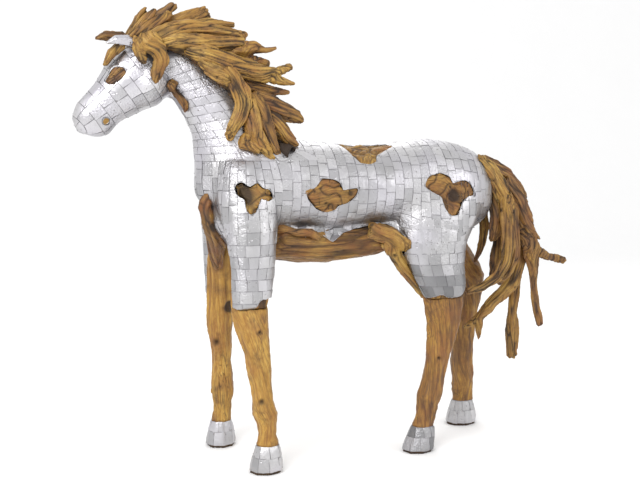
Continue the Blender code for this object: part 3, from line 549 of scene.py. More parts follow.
def square_template(cells):
    """A flat sheet from 0 to 1 with a hem that hangs down from its edge, at z = -1."""
    bm = bmesh.new()
    bmesh.ops.create_grid(bm, x_segments=cells, y_segments=cells, size=0.5,
                          matrix=Matrix.Translation((0.5, 0.5, 0)))
    rim = [edge for edge in bm.edges if edge.is_boundary]
    for edge in rim:
        edge.smooth = False
    hem = bmesh.ops.extrude_edge_only(bm, edges=rim)
    for item in hem["geom"]:
        if isinstance(item, bmesh.types.BMVert):
            item.co.z = -1.0
    bmesh.ops.recalc_face_normals(bm, faces=bm.faces)
    if sum(face.normal.z for face in bm.faces) < 0:
        bmesh.ops.reverse_faces(bm, faces=bm.faces)
    return as_template("square", bm)


FOLD_SIZE = 0.028       # distance between two folds beaten into the sheet, in metres
LEAST_LIFT = 0.0003     # a square never lies nearer to its bed
LONGEST_EDGE = 0.095    # a square longer than this has been drawn across a hollow and is left out
LEAST_SIDE = 0.008      # a square's sides count as at least this long when its seam is inset
CENTRE_PROBES = (0.35, 0.65)    # shares of a square's sides at which it has to lie on the skin
OPENING_PROBES = 6      # places along each side of a square where an opening is looked for
RIM_EASING = 3          # rounds of smoothing along an edge cut into squares

# How bright the squares are, and where painted shade darkens them, with heights and lengths in units
USUAL_TONE, TONE_SPREAD = 0.80, 0.18
FACES_DOWN, MOST_SHADE = 0.05, 0.6          # the slope from which a square faces down and gets painted shade, and the most that shade counts
LEG_SHADE_TOP, LEG_SHADE = 47.0, 0.35       # below this height squares that face forward get painted shade too
BELLY_EDGE_SHADE, BELLY_EDGE_SHADE_TOP, BELLY_EDGE_SHADE_FOOT = 0.35, 52.9, 46.0   # painted shade in a band along the belly's lower edge
BELLY_EDGE_SHADE_MIDDLE, BELLY_EDGE_SHADE_REACH = -1.5, 14.0              # its middle along X and how far it runs from there
BODY_SHADE, BODY_SHADE_TOP = 0.19, 70.0       # painted shade: everything but the head and neck is a little darker
HEM_SHADE, HEM_SHADE_TOP, HEM_SHADE_FRONT = 0.45, 45.0, 8.0    # painted shade on the near thigh, deeper towards its hem


def crumple(places, size, seed):
    """Soft noise about 0 at an array of places."""
    offset = Vector((seed, -seed, 0.5 * seed))
    flat = places.reshape(-1, 3) / size
    values = [noise.noise(Vector(place) + offset) for place in flat]
    return np.array(values).reshape(places.shape[:-1])


def tones(sleeve, squares, draws, settings):
    """How bright each square is, from 0 to 1: its own tone, less painted shade."""
    low, high, first, last = (squares[:, column:column + 1] for column in range(4))
    middles, facing = sleeve.at((low + high) / 2, (first + last) / 2)
    x, y, z = (middles[:, :, axis] / UNIT for axis in range(3))
    turned = facing[:, :, 2] + LEG_SHADE * facing[:, :, 0] * (z < LEG_SHADE_TOP)
    # painted shade on the squares that face down
    under = np.clip(FACES_DOWN - turned, 0, MOST_SHADE) * settings.underside_shade
    # painted shade along the belly's lower edge
    band = (np.abs(x - BELLY_EDGE_SHADE_MIDDLE) < BELLY_EDGE_SHADE_REACH) * (z > BELLY_EDGE_SHADE_FOOT)
    flank = BELLY_EDGE_SHADE * np.clip((BELLY_EDGE_SHADE_TOP - z) / 1.5, 0, 1) * band
    # painted shade on the near thigh, deeper towards its hem
    hem = HEM_SHADE * np.clip((HEM_SHADE_TOP - z) / 7, 0, 1) * (x > HEM_SHADE_FRONT) * (y < 0)
    # painted shade on the body below the neck, and by the near thigh's hem
    painted_light = BODY_SHADE * np.clip((BODY_SHADE_TOP - z) / 6, 0, 1) + hem
    return np.clip(USUAL_TONE + TONE_SPREAD * draws - under - flank - painted_light, 0, 1)


def shaped(sleeve, squares, local, draws, stand, settings):
    """Where the points of many squares lie once beaten on to the skin, and their values for the shader."""
    low, high, first, last = (squares[:, column:column + 1] for column in range(4))
    corner, _ = sleeve.at(low, first)
    opposite, _ = sleeve.at(low, last)
    wide = np.maximum(np.linalg.norm(opposite - corner, axis=-1), LEAST_SIDE)
    tall = np.maximum(high - low, LEAST_SIDE)
    inset_across = settings.seam_width / 2 / wide
    inset_along = settings.seam_width / 2 / tall
    across = inset_across + local[None, :, 0] * (1 - 2 * inset_across)
    along = inset_along + local[None, :, 1] * (1 - 2 * inset_along)
    reach = low + (high - low) * (along + draws[:, 0:1] * settings.skew * (across - 0.5))
    turn = first + (last - first) * (across + draws[:, 1:2] * settings.skew * (along - 0.5))
    places, ways = sleeve.at(reach, turn)
    tilt = (draws[:, 2:3] * (across - 0.5) + draws[:, 3:4] * (along - 0.5)) * settings.tilt
    pillow = (1 - (2 * across - 1) ** 4) * (1 - (2 * along - 1) ** 4)
    folds = crumple(places, FOLD_SIZE, 3.1) * settings.crumple * (1.0 + 0.8 * draws[:, 4:5])
    lift = stand + settings.lift * (1 + 0.5 * draws[:, 5:6]) + tilt + settings.pillow * pillow + folds
    height = np.where(local[None, :, 2] > -0.5, np.maximum(lift, LEAST_LIFT), stand - settings.hem)
    tone = tones(sleeve, squares, draws[:, 6:7], settings)
    layers = (local[None, :, 0], local[None, :, 1], tone)
    sheet = np.stack([layer + 0 * across for layer in layers], axis=-1)
    return (places + ways * height[..., None]).reshape(-1, 3), sheet.reshape(-1, 3)


def split_by_openings(sleeve, squares, gone):
    """The squares that lie whole on the metal, and those that an opening cuts."""
    probes = np.linspace(0.0, 1.0, OPENING_PROBES)
    along, across = (grid.ravel()[None] for grid in np.meshgrid(probes, probes))
    low, high, first, last = (squares[:, column:column + 1] for column in range(4))
    places, ways = sleeve.at(low + (high - low) * along, first + (last - first) * across)
    lost = np.array([[gone(Vector(place), Vector(way)) for place, way in zip(*row)]
                     for row in zip(places, ways)])
    return squares[~lost.any(axis=1)], squares[lost.any(axis=1) & ~lost.all(axis=1)]


def lay_squares(name, sleeve, squares, owned, gone, stand, settings, dice):
    """Beat squares of sheet on to the skin, and return them with the places they took."""
    table = np.array(squares)
    centres, _ = sleeve.at((table[:, 0:1] + table[:, 1:2]) / 2, (table[:, 2:3] + table[:, 3:4]) / 2)
    table = table[[owned(centre / UNIT) for centre in centres[:, 0]]]
    round_it = ((0, 2), (1, 2), (1, 3), (0, 3))
    corners = [sleeve.at(table[:, end], table[:, side])[0] for end, side in round_it]
    edges = [np.linalg.norm(corners[item] - corners[item - 1], axis=1) for item in range(4)]
    table = table[(np.max(edges, axis=0) < LONGEST_EDGE) & ~sleeve.strays(table)]
    whole, cut = split_by_openings(sleeve, table, gone)
    bm = bmesh.new()
    places, sheet = [], []
    for squares, cells in ((whole, settings.square_cells), (cut, settings.cut_cells)):
        if len(squares):
            template = square_template(cells)
            for _ in squares:
                bm.from_mesh(template)
            draws = np.array([[dice.uniform(-1, 1) for _ in range(7)] for _ in squares])
            spots, values = shaped(sleeve, squares, coordinates(template), draws, stand, settings)
            places.append(spots)
            sheet.append(values)
            bpy.data.meshes.remove(template)
    obj = as_object(name, bm)
    put_back(obj.data, np.concatenate(places))
    store(obj.data, "sheet", "FLOAT_VECTOR", np.concatenate(sheet))
    if sleeve.inside_out:
        obj.data.flip_normals()
    if len(cut):
        trim_sheet(obj, gone, RIM_EASING)
    return obj, np.concatenate((whole, cut))


def trim_sheet(obj, gone, easing):
    """Cut away the faces of sheet that lie where the metal is open, and ease the cut edge."""
    bm = bmesh.new()
    bm.from_mesh(obj.data)
    hems = {vert for vert in bm.verts if vert.is_boundary}
    lost = [face for face in bm.faces if gone(face.calc_center_median(), face.normal)]
    bmesh.ops.delete(bm, geom=lost, context="FACES")
    rim = {vert for vert in bm.verts if vert.is_boundary and vert not in hems}
    for _ in range(easing):
        ease_along_rim(rim)
    bm.to_mesh(obj.data)
    bm.free()
    return obj


def ease_along_rim(rim):
    """Move each vertex of an open edge towards the middle of its neighbours on that edge."""
    moves = []
    for vert in rim:
        others = [edge.other_vert(vert) for edge in vert.link_edges if edge.is_boundary]
        if len(others) == 2 and all(other in rim for other in others):
            moves.append((vert, (vert.co + (others[0].co + others[1].co) / 2) / 2))
    for vert, place in moves:
        vert.co = place


# Where on a square a nail may sit, as shares of its sides, and how far each strays from there
NAIL_SPOTS = ((0.14, 0.14), (0.86, 0.86), (0.14, 0.86), (0.86, 0.14), (0.5, 0.5))
NAIL_STRAY = 0.08
NAIL_SIZES = (0.65, 1.25)


def nail_template(radius):
    """A low domed nail head."""
    bm = bmesh.new()
    bmesh.ops.create_uvsphere(bm, u_segments=8, v_segments=4, radius=radius,
                              matrix=Matrix.Diagonal((1, 1, 0.55, 1)))
    low = [vert for vert in bm.verts if vert.co.z < -0.1 * radius]
    bmesh.ops.delete(bm, geom=low, context="VERTS")
    return as_template("nail", bm)


def drive_nails(name, sleeve, squares, gone, stand, settings, dice):
    """Set nail heads near the corners of the squares."""
    spots = []
    for low, high, first, last in squares:
        for along, across in NAIL_SPOTS:
            if dice.random() < settings.nail_share:
                reach = low + (high - low) * (along + dice.uniform(-NAIL_STRAY, NAIL_STRAY))
                turn = first + (last - first) * (across + dice.uniform(-NAIL_STRAY, NAIL_STRAY))
                spots.append((reach, turn))
    table = np.array(spots)
    places, ways = sleeve.at(table[:, 0], table[:, 1])
    kept = [row for row in range(len(spots)) if not gone(Vector(places[row]), Vector(ways[row]))]
    template = nail_template(settings.nail_diameter / 2)
    local = coordinates(template)
    bm = bmesh.new()
    heads = []
    for row in kept:
        bm.from_mesh(template)
        turn = Vector(ways[row]).to_track_quat("Z", "Y").to_matrix()
        head = local * dice.uniform(*NAIL_SIZES) @ np.array(turn).T
        heads.append(head + places[row] + ways[row] * (stand + settings.nail_stand))
    obj = as_object(name, bm)
    put_back(obj.data, np.concatenate(heads))
    bpy.data.meshes.remove(template)
    return obj


# Where the metal is open, beside the inlays: lower edges as (x, z) in units, each side of the belly
BELLY_EDGE = [(-18.4, 51.4), (-18.0, 51.6), (-17.4, 52.9), (-14.5, 52.8), (-11.1, 50.1), (-9.7, 51.0),
              (-8.6, 51.6), (-6.8, 50.4), (-4.9, 48.9), (-3.8, 49.6), (-2.4, 50.7), (1.3, 51.9),
              (5.8, 52.5), (8.2, 52.6), (12.0, 50.0)]
FORE_HEM = [(-29.0, 36.3), (-28.0, 35.9), (-24.2, 35.6), (-23.4, 36.8), (-22.8, 38.0), (-19.0, 38.0)]
HIND_HEM = [(14.0, 36.6), (17.0, 35.8), (19.9, 36.9), (21.2, 35.9), (22.9, 35.7), (24.9, 36.3),
            (26.4, 38.2)]
EDGE_RIPPLE = 0.35      # height of the small tears along an edge, in units
RIGHT_FORE_SHIFT, RIGHT_HIND_SHIFT = 1.2, -12.2     # from a place on a right leg to its left one, along X
HEM_ZONE = 40.0         # height below which a place lies on a leg, near a hem
LOG_ZONE, LOG_FRONT, LOG_BACK = 55.0, -18.4, 16.0   # the top and the ends of the room where the log lies
MUZZLE_BACK = -45.0     # the nostrils are in front of this
# The back of a foreleg, beside the log: behind it, further out than it, below its top, and its least slope
ELBOW_BACK, ELBOW_SIDE, ELBOW_TOP, ELBOW_SLOPE = -14.8, 5.2, 52.0, 0.45


def edge_height(outline, x):
    """Height of an edge at a place along X, with small tears of two sizes."""
    line = np.array(outline)
    ripple = noise.noise(Vector((x * 0.9, 3.0, 0))) + 0.5 * noise.noise(Vector((x * 2.3, 7.0, 0)))
    return float(np.interp(x, line[:, 0], line[:, 1])) + EDGE_RIPPLE * ripple


class Openings:
    """Where the sheet is cut away: over the inlays, below the belly's edge and below the hems."""

    PROBE = 0.02        # how far above and below the sheet an inlay is looked for, in metres
    BELLY_SIDE = 4.0    # further out than this the belly's sheet ends at its drawn edge, in units

    def __init__(self):
        self.inlays = tree_of(INLAYS + EYES)
        self.pegs = [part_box(name) for name in PEGS]
        self.log = tree_of(["belly_root"])
        self.cladding = tree_of(["clad_body"])

    def over_log(self, place):
        """Whether a place by the belly lies on the wood, below the sheet's torn edge."""
        x, y, z = place / UNIT
        if abs(y) > self.BELLY_SIDE and BELLY_EDGE[0][0] < x < BELLY_EDGE[-1][0]:
            return z < edge_height(BELLY_EDGE, x)
        return self.log.find_nearest(place)[3] < self.cladding.find_nearest(place)[3]

    def over_peg(self, place):
        """Whether a place on the muzzle lies over a nostril peg."""
        for low, high in self.pegs:
            middle, radius = (low + high) / 2, (high.z - low.z) / 2
            if place.y * middle.y > 0 and math.hypot(place.x - middle.x, place.z - middle.z) < radius:
                return True
        return False

    def below_hem(self, place):
        """Whether a place on a leg lies below the sheet's hem."""
        x, y, z = place / UNIT
        outline, shift = (FORE_HEM, RIGHT_FORE_SHIFT) if x < 0 else (HIND_HEM, RIGHT_HIND_SHIFT)
        return z < edge_height(outline, x + shift * (y > 0))

    def __call__(self, place, way):
        """Whether the sheet is cut away at a place whose outward way is given, or is zero if unknown."""
        x, y, z = place / UNIT
        if z < HEM_ZONE:
            return self.below_hem(place)
        if x < ELBOW_BACK and abs(y) > ELBOW_SIDE and z < ELBOW_TOP and way.x > ELBOW_SLOPE:
            return False
        if z < LOG_ZONE and LOG_FRONT < x < LOG_BACK and self.over_log(place):
            return True
        if x < MUZZLE_BACK and self.over_peg(place):
            return True
        start = place + way * self.PROBE
        return way.length > 0.5 and bool(self.inlays.ray_cast(start, -way, 2 * self.PROBE)[0])


# Rings of rays round each part of the body: (x, y, z, lean of the ring, splay of its rays)
SLEEVES = {
    "head": [(-39.5, 0, 87.0, 128, 0), (-54.6, 0, 76.0, 128, 0), (-55.6, 0, 75.4, 128, 78)],
    "neck": [(-37.4, 0, 88.6, 22, 0), (-34.6, 0, 84.8, 18, 0), (-31.0, 0, 80.0, 14, 0),
             (-27.0, 0, 74.6, 8, 0), (-24.0, 0, 70.0, 3, 0), (-22.5, 0, 66.6, 0, 0)],
    "forequarter": [(-22.5, 0, 66.6, 0, 0), (-22.0, 0, 49.0, 0, 0)],
    "trunk": [(-17.0, 0, 61.0, 90, 0), (28.0, 0, 60.0, 90, 0), (30.0, 0, 60.0, 90, -62)],
    "hindquarter": [(24.0, 0, 65.2, 0, 0), (24.0, 0, 48.0, 0, 0)],
    "foreleg_left": [(-23.6, -8.6, 54.6, 0, 0), (-24.0, -11.3, 42.0, 0, 0), (-24.0, -11.5, 35.4, 0, 0)],
    "foreleg_right": [(-24.8, 8.6, 54.6, 0, 0), (-25.4, 11.3, 42.0, 0, 0), (-25.6, 11.5, 35.4, 0, 0)],
    "thigh_left": [(19.8, -7.8, 53.6, 0, 0), (20.0, -9.0, 44.0, 0, 0), (22.0, -9.8, 35.6, 0, 0)],
    "thigh_right": [(23.4, 7.8, 53.6, 0, 0), (29.4, 9.0, 44.0, 0, 0), (35.6, 9.8, 35.8, 0, 0)],
}
NECK_FOOT = 66.6        # height at which the neck's rows give way to strips
SHOULDER_BACK = -17.0   # where the shoulder gives way to the barrel
HIP_FRONT = 24.5        # where the barrel gives way to the hindquarter
RUMP_TOP = 62.0         # height at which the croup's rings give way to the hindquarter's strips
KNEE_ZONE = 50.5        # height at which the strips give way to the rows of the legs
LEG_ROWS_TOP = 54.0     # height up to which those rows run on, under the strips
LAP = 1.3               # how far one part's squares may run over the next part's, in units


HEAD_BACK = -35.4       # the head is in front of this
JAW_EDGE = (-39.8, 83.0)    # a place (x, z) on the jaw's back edge
JAW_WAY = (-0.785, -0.62)   # the way (x, z) from that edge towards the muzzle
CREST_FOOT = -9.0       # the neck is in front of this
WITHERS = -15.5         # in front of this the neck stands on the trunk
BELLY_LOW = 46.0        # the trunk is above this
FORE_INSIDE, HIND_INSIDE = 3.0, 2.0     # how far from the middle the squares of the legs begin
THIGH_FRONT = 6.0       # the thighs are behind this


def is_head(place):
    """Whether a place in units lies on the head, in front of the jaw's back edge."""
    x, _, z = place
    return x < HEAD_BACK and (x - JAW_EDGE[0]) * JAW_WAY[0] + (z - JAW_EDGE[1]) * JAW_WAY[1] > 0


def is_thigh(place, side):
    """Whether a place in units lies on the thigh of one side, -1 for the left."""
    return place[2] <= LEG_ROWS_TOP and place[1] * side > HIND_INSIDE and place[0] > THIGH_FRONT


OWNERS = {
    "head": is_head,
    "neck": lambda at: not is_head(at) and at[2] > NECK_FOOT - 1 and at[0] < CREST_FOOT,
    "forequarter": lambda at: at[2] > KNEE_ZONE - LAP and at[0] < SHOULDER_BACK + LAP,
    "trunk": lambda at: (at[2] > BELLY_LOW and (at[0] < HIP_FRONT + LAP or at[2] > RUMP_TOP - LAP)
                         and (at[0] > WITHERS or at[2] <= NECK_FOOT + LAP)),
    "hindquarter": lambda at: KNEE_ZONE - LAP < at[2] <= RUMP_TOP + LAP and at[0] >= HIP_FRONT,
    "foreleg_left": lambda at: at[2] <= LEG_ROWS_TOP and at[1] < -FORE_INSIDE,
    "foreleg_right": lambda at: at[2] <= LEG_ROWS_TOP and at[1] > FORE_INSIDE,
    "thigh_left": lambda at: is_thigh(at, -1),
    "thigh_right": lambda at: is_thigh(at, 1),
}
# How each part's squares run, their size along the skin and across it, and how far they stand off the bed
# so that one part's squares lap over the next part's, in metres
COURSES = {
    "head": (in_rows, 0.050, 0.052, 0.0024),
    "neck": (in_rows, 0.039, 0.056, 0.0012),
    "forequarter": (in_columns, 0.039, 0.054, 0.0018),
    "trunk": (in_rows, 0.039, 0.052, 0.0),
    "hindquarter": (in_columns, 0.040, 0.054, 0.0018),
    "foreleg_left": (in_rows, 0.045, 0.043, 0.0),
    "foreleg_right": (in_rows, 0.045, 0.043, 0.0),
    "thigh_left": (in_rows, 0.046, 0.044, 0.0),
    "thigh_right": (in_rows, 0.046, 0.044, 0.0),
}


# Carved wood

SPLIT_WIDTH = 0.42      # how much of a bundle's width its splits take up
LOBE_SIZE = 0.052       # distance between the creases that part an inlay's branches, in metres
RAGGED_END = 0.035      # length over which a root's end is frayed, in metres
SOLE_STAIN = 0.011      # height up to which the feet are dark, in metres
SHEATH_GAP = 0.001      # how far a root keeps inside a hoof's sleeve, in metres
KNOT_RADII = (0.012, 0.024)     # in metres, for a root of size 1
GRAIN_STEP = 0.02       # distance between two places on a root's middle line, in metres
GRAIN_TWIST = 3.0       # how far the grain winds round a root, in radians for a metre
# How each kind of root is carved: the start of its name, the size of its faces in metres, the size of
# its splinters and swellings, its number of knots, how far wear has smoothed its splits away, the height
# in metres of the rounded branches it is made up of, and the axes of its grain, the last one along it, or
# None where the grain follows the root's own curve
CARVINGS = (
    ("leg_", 0.0046, 1.15, 6, 0.62, 0.0, None),
    ("belly_root", 0.0052, 1.2, 5, 0.2, 0.0, (1, 2, 0)),
    ("stifle_root", 0.0044, 1.1, 4, 0.25, 0.0, None),
    ("chest_root", 0.0044, 1.1, 4, 0.25, 0.0, None),
    ("inlay_", 0.0032, 0.8, 2, 0.35, 0.005, None),
    ("eye_", 0.002, 0.35, 1, 0.0, 0.0, None),
    ("mane_", 0.0032, 0.75, 1, 0.0, 0.0, None),
    ("forelock_", 0.0032, 0.75, 1, 0.0, 0.0, None),
    ("crest_root", 0.0055, 1.0, 0, 0.0, 0.0, None),
    ("tail_", 0.0032, 0.7, 2, 0.0, 0.0, None),
    ("", 0.003, 0.5, 0, 0.0, 0.0, None),
)
# Rotten hollows in the wood: the root's name, the middle as (x, y, z) in units, radius in units
HOLLOWS = (("inlay_shoulder", (-26.4, -12.6, 60.6), 1.7), ("inlay_hip", (23.0, -12.0, 58.6), 1.1),
           ("throat_root", (-36.6, -3.0, 81.4), 1.3), ("leg_front_right", (-24.4, 9.0, 33.0), 0.9),
           ("chest_root", (-30.4, -4.0, 52.0), 1.2))


def walk_lengths(mesh):
    """How far each vertex is along the surface from one end of the piece, in metres."""
    places = coordinates(mesh)
    ends = np.empty(len(mesh.edges) * 2, int)
    mesh.edges.foreach_get("vertices", ends)
    ends = ends.reshape(-1, 2)
    spans = np.linalg.norm(places[ends[:, 0]] - places[ends[:, 1]], axis=1)
    neighbours = [[] for _ in places]
    for (one, other), span in zip(ends.tolist(), spans.tolist()):
        neighbours[one].append((other, span))
        neighbours[other].append((one, span))
    start = int(np.argmax(np.linalg.norm(places - places.mean(axis=0), axis=1)))
    walked = [math.inf] * len(places)
    walked[start] = 0.0
    heap = [(0.0, start)]
    while heap:
        length, here = heapq.heappop(heap)
        if length > walked[here]:
            continue
        for there, span in neighbours[here]:
            if length + span < walked[there]:
                walked[there] = length + span
                heapq.heappush(heap, (length + span, there))
    lengths = np.array(walked)
    return np.where(np.isfinite(lengths), lengths, 0.0)


def straightened(mesh):
    """Each vertex as (across, across, along) round the piece's own curved middle line."""
    places = coordinates(mesh)
    walked = walk_lengths(mesh)
    count = max(3, int(walked.max() / GRAIN_STEP) + 1)
    bins = np.clip((walked / walked.max() * count).astype(int), 0, count - 1)
    middles = np.array([places[bins == number].mean(axis=0) if (bins == number).any() else (0, 0, 0)
                        for number in range(count)])
    padded = np.vstack((2 * middles[0] - middles[1], middles, 2 * middles[-1] - middles[-2]))
    middles = (padded[:-2] + padded[1:-1] + padded[2:]) / 3
    ahead = np.gradient(middles, axis=0)
    ahead /= np.maximum(np.linalg.norm(ahead, axis=1, keepdims=True), 1e-9)
    side = np.cross(ahead[0], (0.31, 0.87, 0.38))
    frames = []
    for way in ahead:
        side = side - way * side.dot(way)
        side /= max(np.linalg.norm(side), 1e-9)
        frames.append((side, np.cross(way, side)))
    share = np.clip(walked / walked.max() * count - 0.5, 0, count - 1.001)
    low = share.astype(int)
    part = (share - low)[:, None]
    tables = (middles, np.array([pair[0] for pair in frames]), np.array([pair[1] for pair in frames]))
    centre, first, second = (table[low] * (1 - part) + table[low + 1] * part for table in tables)
    offset = places - centre
    one, other = (offset * first).sum(axis=1), (offset * second).sum(axis=1)
    angle = walked * GRAIN_TWIST
    return np.stack((one * np.cos(angle) - other * np.sin(angle),
                     one * np.sin(angle) + other * np.cos(angle), walked), axis=1)


def splinters(grain, wide, seed):
    """Long bundles of fibres: how high each stands, from -1 to 1, and how near a point is to a split."""
    noise.seed_set(NOISE_SEED)  # noise_vector is seeded by the clock otherwise
    shift = Vector((seed, 2 * seed, -seed))
    heights, splits = [], []
    for place in grain * np.array((1 / wide, 1 / wide, 0.075 / wide)):
        spot = Vector(place) + shift
        spot += noise.noise_vector(spot * 0.5) * 0.45
        spans, centres, *_ = noise.voronoi(spot)
        heights.append(noise.noise(centres[0] * 1.7))
        splits.append(max(0.0, 1 - (spans[1] - spans[0]) / SPLIT_WIDTH))
    return np.array(heights), np.array(splits)


def carve_root(name, paint, settings, sheath=0.0):
    """A copy of a CAD root, split along its grain, with swellings, knots and ragged ends.

    Up to the height of the sheath, in metres, it keeps inside the metal round it.
    """
    kinds = (kind for start, *kind in CARVINGS if name.startswith(start))
    voxel, size, knots, wear, lobes, along = next(kinds)
    obj = remeshed(name.title(), [name], voxel, 2)
    mesh = obj.data
    places, ways = coordinates(mesh), normals(mesh)
    dice = random.Random(name)
    seed = dice.uniform(0, 60)
    grain = places[:, along] if along else straightened(mesh)
    bundles, splits = splinters(grain, settings.splinter_width * size, seed)
    swell = crumple(places, settings.swelling_size * size, seed)
    facets = crumple(places, settings.swelling_size * size * 0.33, seed + 9)    # a third of a swelling each
    from_end = np.minimum(grain[:, 2], grain[:, 2].max() - grain[:, 2]) / (RAGGED_END * size)
    ragged = 1 + 1.2 * np.exp(-from_end ** 2)
    splinter = settings.splinter_height * bundles - settings.split_depth * splits ** 1.3
    height = (splinter * ragged * (1 - wear) + settings.swelling * (swell + 0.4 * np.abs(facets))) * size
    # the wood's shader darkens this hollow value as painted shade in the splits, creases, knots and rotten
    # hollows
    hollow = np.clip(0.62 * splits ** 2 - 0.42 * bundles - 0.35 * swell - 0.05, 0, 1) * (1 - wear)
    creases = np.clip(1 - np.abs(crumple(places, LOBE_SIZE, seed + 5)) / 0.22, 0, 1) ** 2
    height -= lobes * creases
    hollow = np.maximum(hollow, creases * (lobes > 0) * 0.6)
    for _ in range(knots):
        spot = dice.randrange(len(places))
        radius = dice.uniform(*KNOT_RADII) * size
        away = np.linalg.norm(places - places[spot], axis=1) / radius
        knot = np.exp(-away ** 2 * 0.6) - 1.6 * np.exp(-(away * 2.4) ** 2)      # a ring round a pit
        height += settings.knot_height * size * knot
        hollow = np.maximum(hollow, 0.6 * np.exp(-(away * (1.6 + facets)) ** 2))
    sunk, dark = hollow_out(name, places, settings.hollow_depth)
    height += settings.root_fullness * size - sunk
    hollow = np.maximum(hollow, dark)
    height = np.where(places[:, 2] < sheath, np.minimum(height, 0) - SHEATH_GAP, height)
    places = places + ways * height[:, None]
    places[:, 2] = np.maximum(places[:, 2], 0.0)
    hollow = np.maximum(hollow, places[:, 2] < SOLE_STAIN)
    put_back(mesh, places)
    grained(mesh, grain + np.array((seed, -seed, seed)), hollow, dice.random())
    return dressed(obj, paint, "teak_root", name)


def hollow_out(name, places, depth):
    """How far the rotten hollows of a root sink in, and where they are, for each of its places."""
    sunk, dark = np.zeros(len(places)), np.zeros(len(places))
    for owner, middle, radius in HOLLOWS:
        if owner == name:
            away = np.linalg.norm(places / UNIT - np.array(middle), axis=1)
            away *= 1 + 0.35 * crumple(places, 0.045, 4.0)
            nearest = away.min()
            share = np.exp(-((away - nearest) / radius) ** 2)
            sunk += depth * share
            dark = np.maximum(dark, share)
    return sunk, dark


def grained(mesh, grain, hollow, tint):
    """Keep what the wood's shader reads: place along the grain, depth in a split, which it darkens as painted
    shade, and the root's tint.
    """
    store(mesh, "grain", "FLOAT_VECTOR", grain)
    store(mesh, "hollow", "FLOAT", np.asarray(hollow, float))
    store(mesh, "tint", "FLOAT", np.full(len(grain), tint))
    mesh.polygons.foreach_set("use_smooth", [True] * len(mesh.polygons))


# What a user would change

def metres(name, default, description):
    """A length property."""
    return bpy.props.FloatProperty(name=name, default=default, description=description, unit="LENGTH",
                                   precision=4)


def colour(name, default, description):
    """A colour property."""
    return bpy.props.FloatVectorProperty(name=name, default=default, description=description,
                                         subtype="COLOR", min=0.0, max=1.0)


def share(name, default, description):
    """A property from 0 to 1."""
    return bpy.props.FloatProperty(name=name, default=default, description=description, min=0.0, max=1.0,
                                   subtype="FACTOR")


class SheetSettings(bpy.types.PropertyGroup):
    """The nailed squares of metal."""

    bed_voxel: metres("Bed grain", 0.0072, "Size of the faces of the sheet under the squares")
    seam_width: metres("Seam", 0.0019, "Gap between two squares")
    lift: metres("Lift", 0.0013, "How far a square stands off the bed")
    tilt: metres("Tilt", 0.0016, "How much higher one edge of a square may be than the other")
    pillow: metres("Pillow", 0.0005, "How far a square bulges between its edges")
    crumple: metres("Crumple", 0.0011, "Height of the folds beaten into a square")
    hem: metres("Hem", 0.0030, "How far a square's edge is turned down")
    skew: share("Skew", 0.05, "How far a square is cut out of true")
    # painted shade: how much darker the squares are that face down
    underside_shade: share("Underside", 0.35, "How much duller the squares are that face down")
    square_cells: bpy.props.IntProperty(name="Cells", default=5, min=2, max=16,
                                        description="Faces along each side of a square")
    cut_cells: bpy.props.IntProperty(name="Cells when cut", default=14, min=2, max=24,
                                     description="Faces along each side of a square that an opening cuts")
    nail_diameter: metres("Nail head", 0.0052, "Diameter of a nail head")
    nail_stand: metres("Nail height", 0.0016, "How far a nail head's rim stands off the bed")
    nail_share: share("Nails", 0.20, "Chance of a nail at a corner of a square")
    rim_radius: metres("Rim", 0.0019, "Radius of the bead of sheet turned round an opening")
    dent_depth: metres("Dents", 0.0020, "Depth of the hammer marks")
    sheet_light: colour("Bright sheet", (0.665, 0.655, 0.665), "Brightest squares")
    # also the colour that the deepest painted shade takes the squares to
    sheet_dark: colour("Dull sheet", (0.20, 0.20, 0.205), "Dullest squares")
    sheet_cast: colour("Cast", (0.57, 0.555, 0.60), "Lavender cast in patches")
    grime: colour("Grime", (0.22, 0.21, 0.21), "Dirt in the seams")
    # the bed's colours are dark as painted shade in the seams
    seam_shade_light: colour("Seam, light", (0.36, 0.35, 0.37), "Bed sheet at its lightest")
    seam_shade_dark: colour("Seam, dark", (0.18, 0.17, 0.18), "Bed sheet at its darkest")
    nail_colour: colour("Nails", (0.40, 0.39, 0.39), "Nail heads")


class WoodSettings(bpy.types.PropertyGroup):
    """The bare teak roots."""

    splinter_width: metres("Splinter width", 0.022, "Width of a bundle of fibres")
    splinter_height: metres("Splinter height", 0.0048, "How much higher one bundle stands than the next")
    split_depth: metres("Split depth", 0.0040, "Depth of the splits between bundles")
    swelling_size: metres("Swelling size", 0.085, "Distance between two swellings")
    swelling: metres("Swelling", 0.0065, "Height of the swellings")
    knot_height: metres("Knots", 0.0070, "Height of a knot")
    hollow_depth: metres("Hollows", 0.013, "Depth of the rotten hollows")
    root_fullness: metres("Fullness", 0.0012, "How far a root stands outside its plain solid")
    fibre_depth: metres("Fibres", 0.0016, "Depth of the finest grain")
    # also the painted highlight along the rubbed ridges
    wood_pale_and_highlight: colour("Worn ridges", (0.46, 0.28, 0.062), "Where the wood is rubbed")
    wood_light: colour("Light wood", (0.31, 0.160, 0.024), "Light streaks")
    wood_mid: colour("Wood", (0.190, 0.086, 0.016), "Between the streaks")
    wood_stain: colour("Stain", (0.105, 0.046, 0.014), "Damp brown patches")
    wood_dark: colour("Dark wood", (0.058, 0.025, 0.008), "Dark streaks")
    wood_red: colour("Reddish wood", (0.20, 0.066, 0.014), "Patches of heartwood")
    # painted shade at the bottom of the cracks and hollows
    wood_crack_shade: colour("Cracks", (0.018, 0.009, 0.005), "Bottom of the cracks")


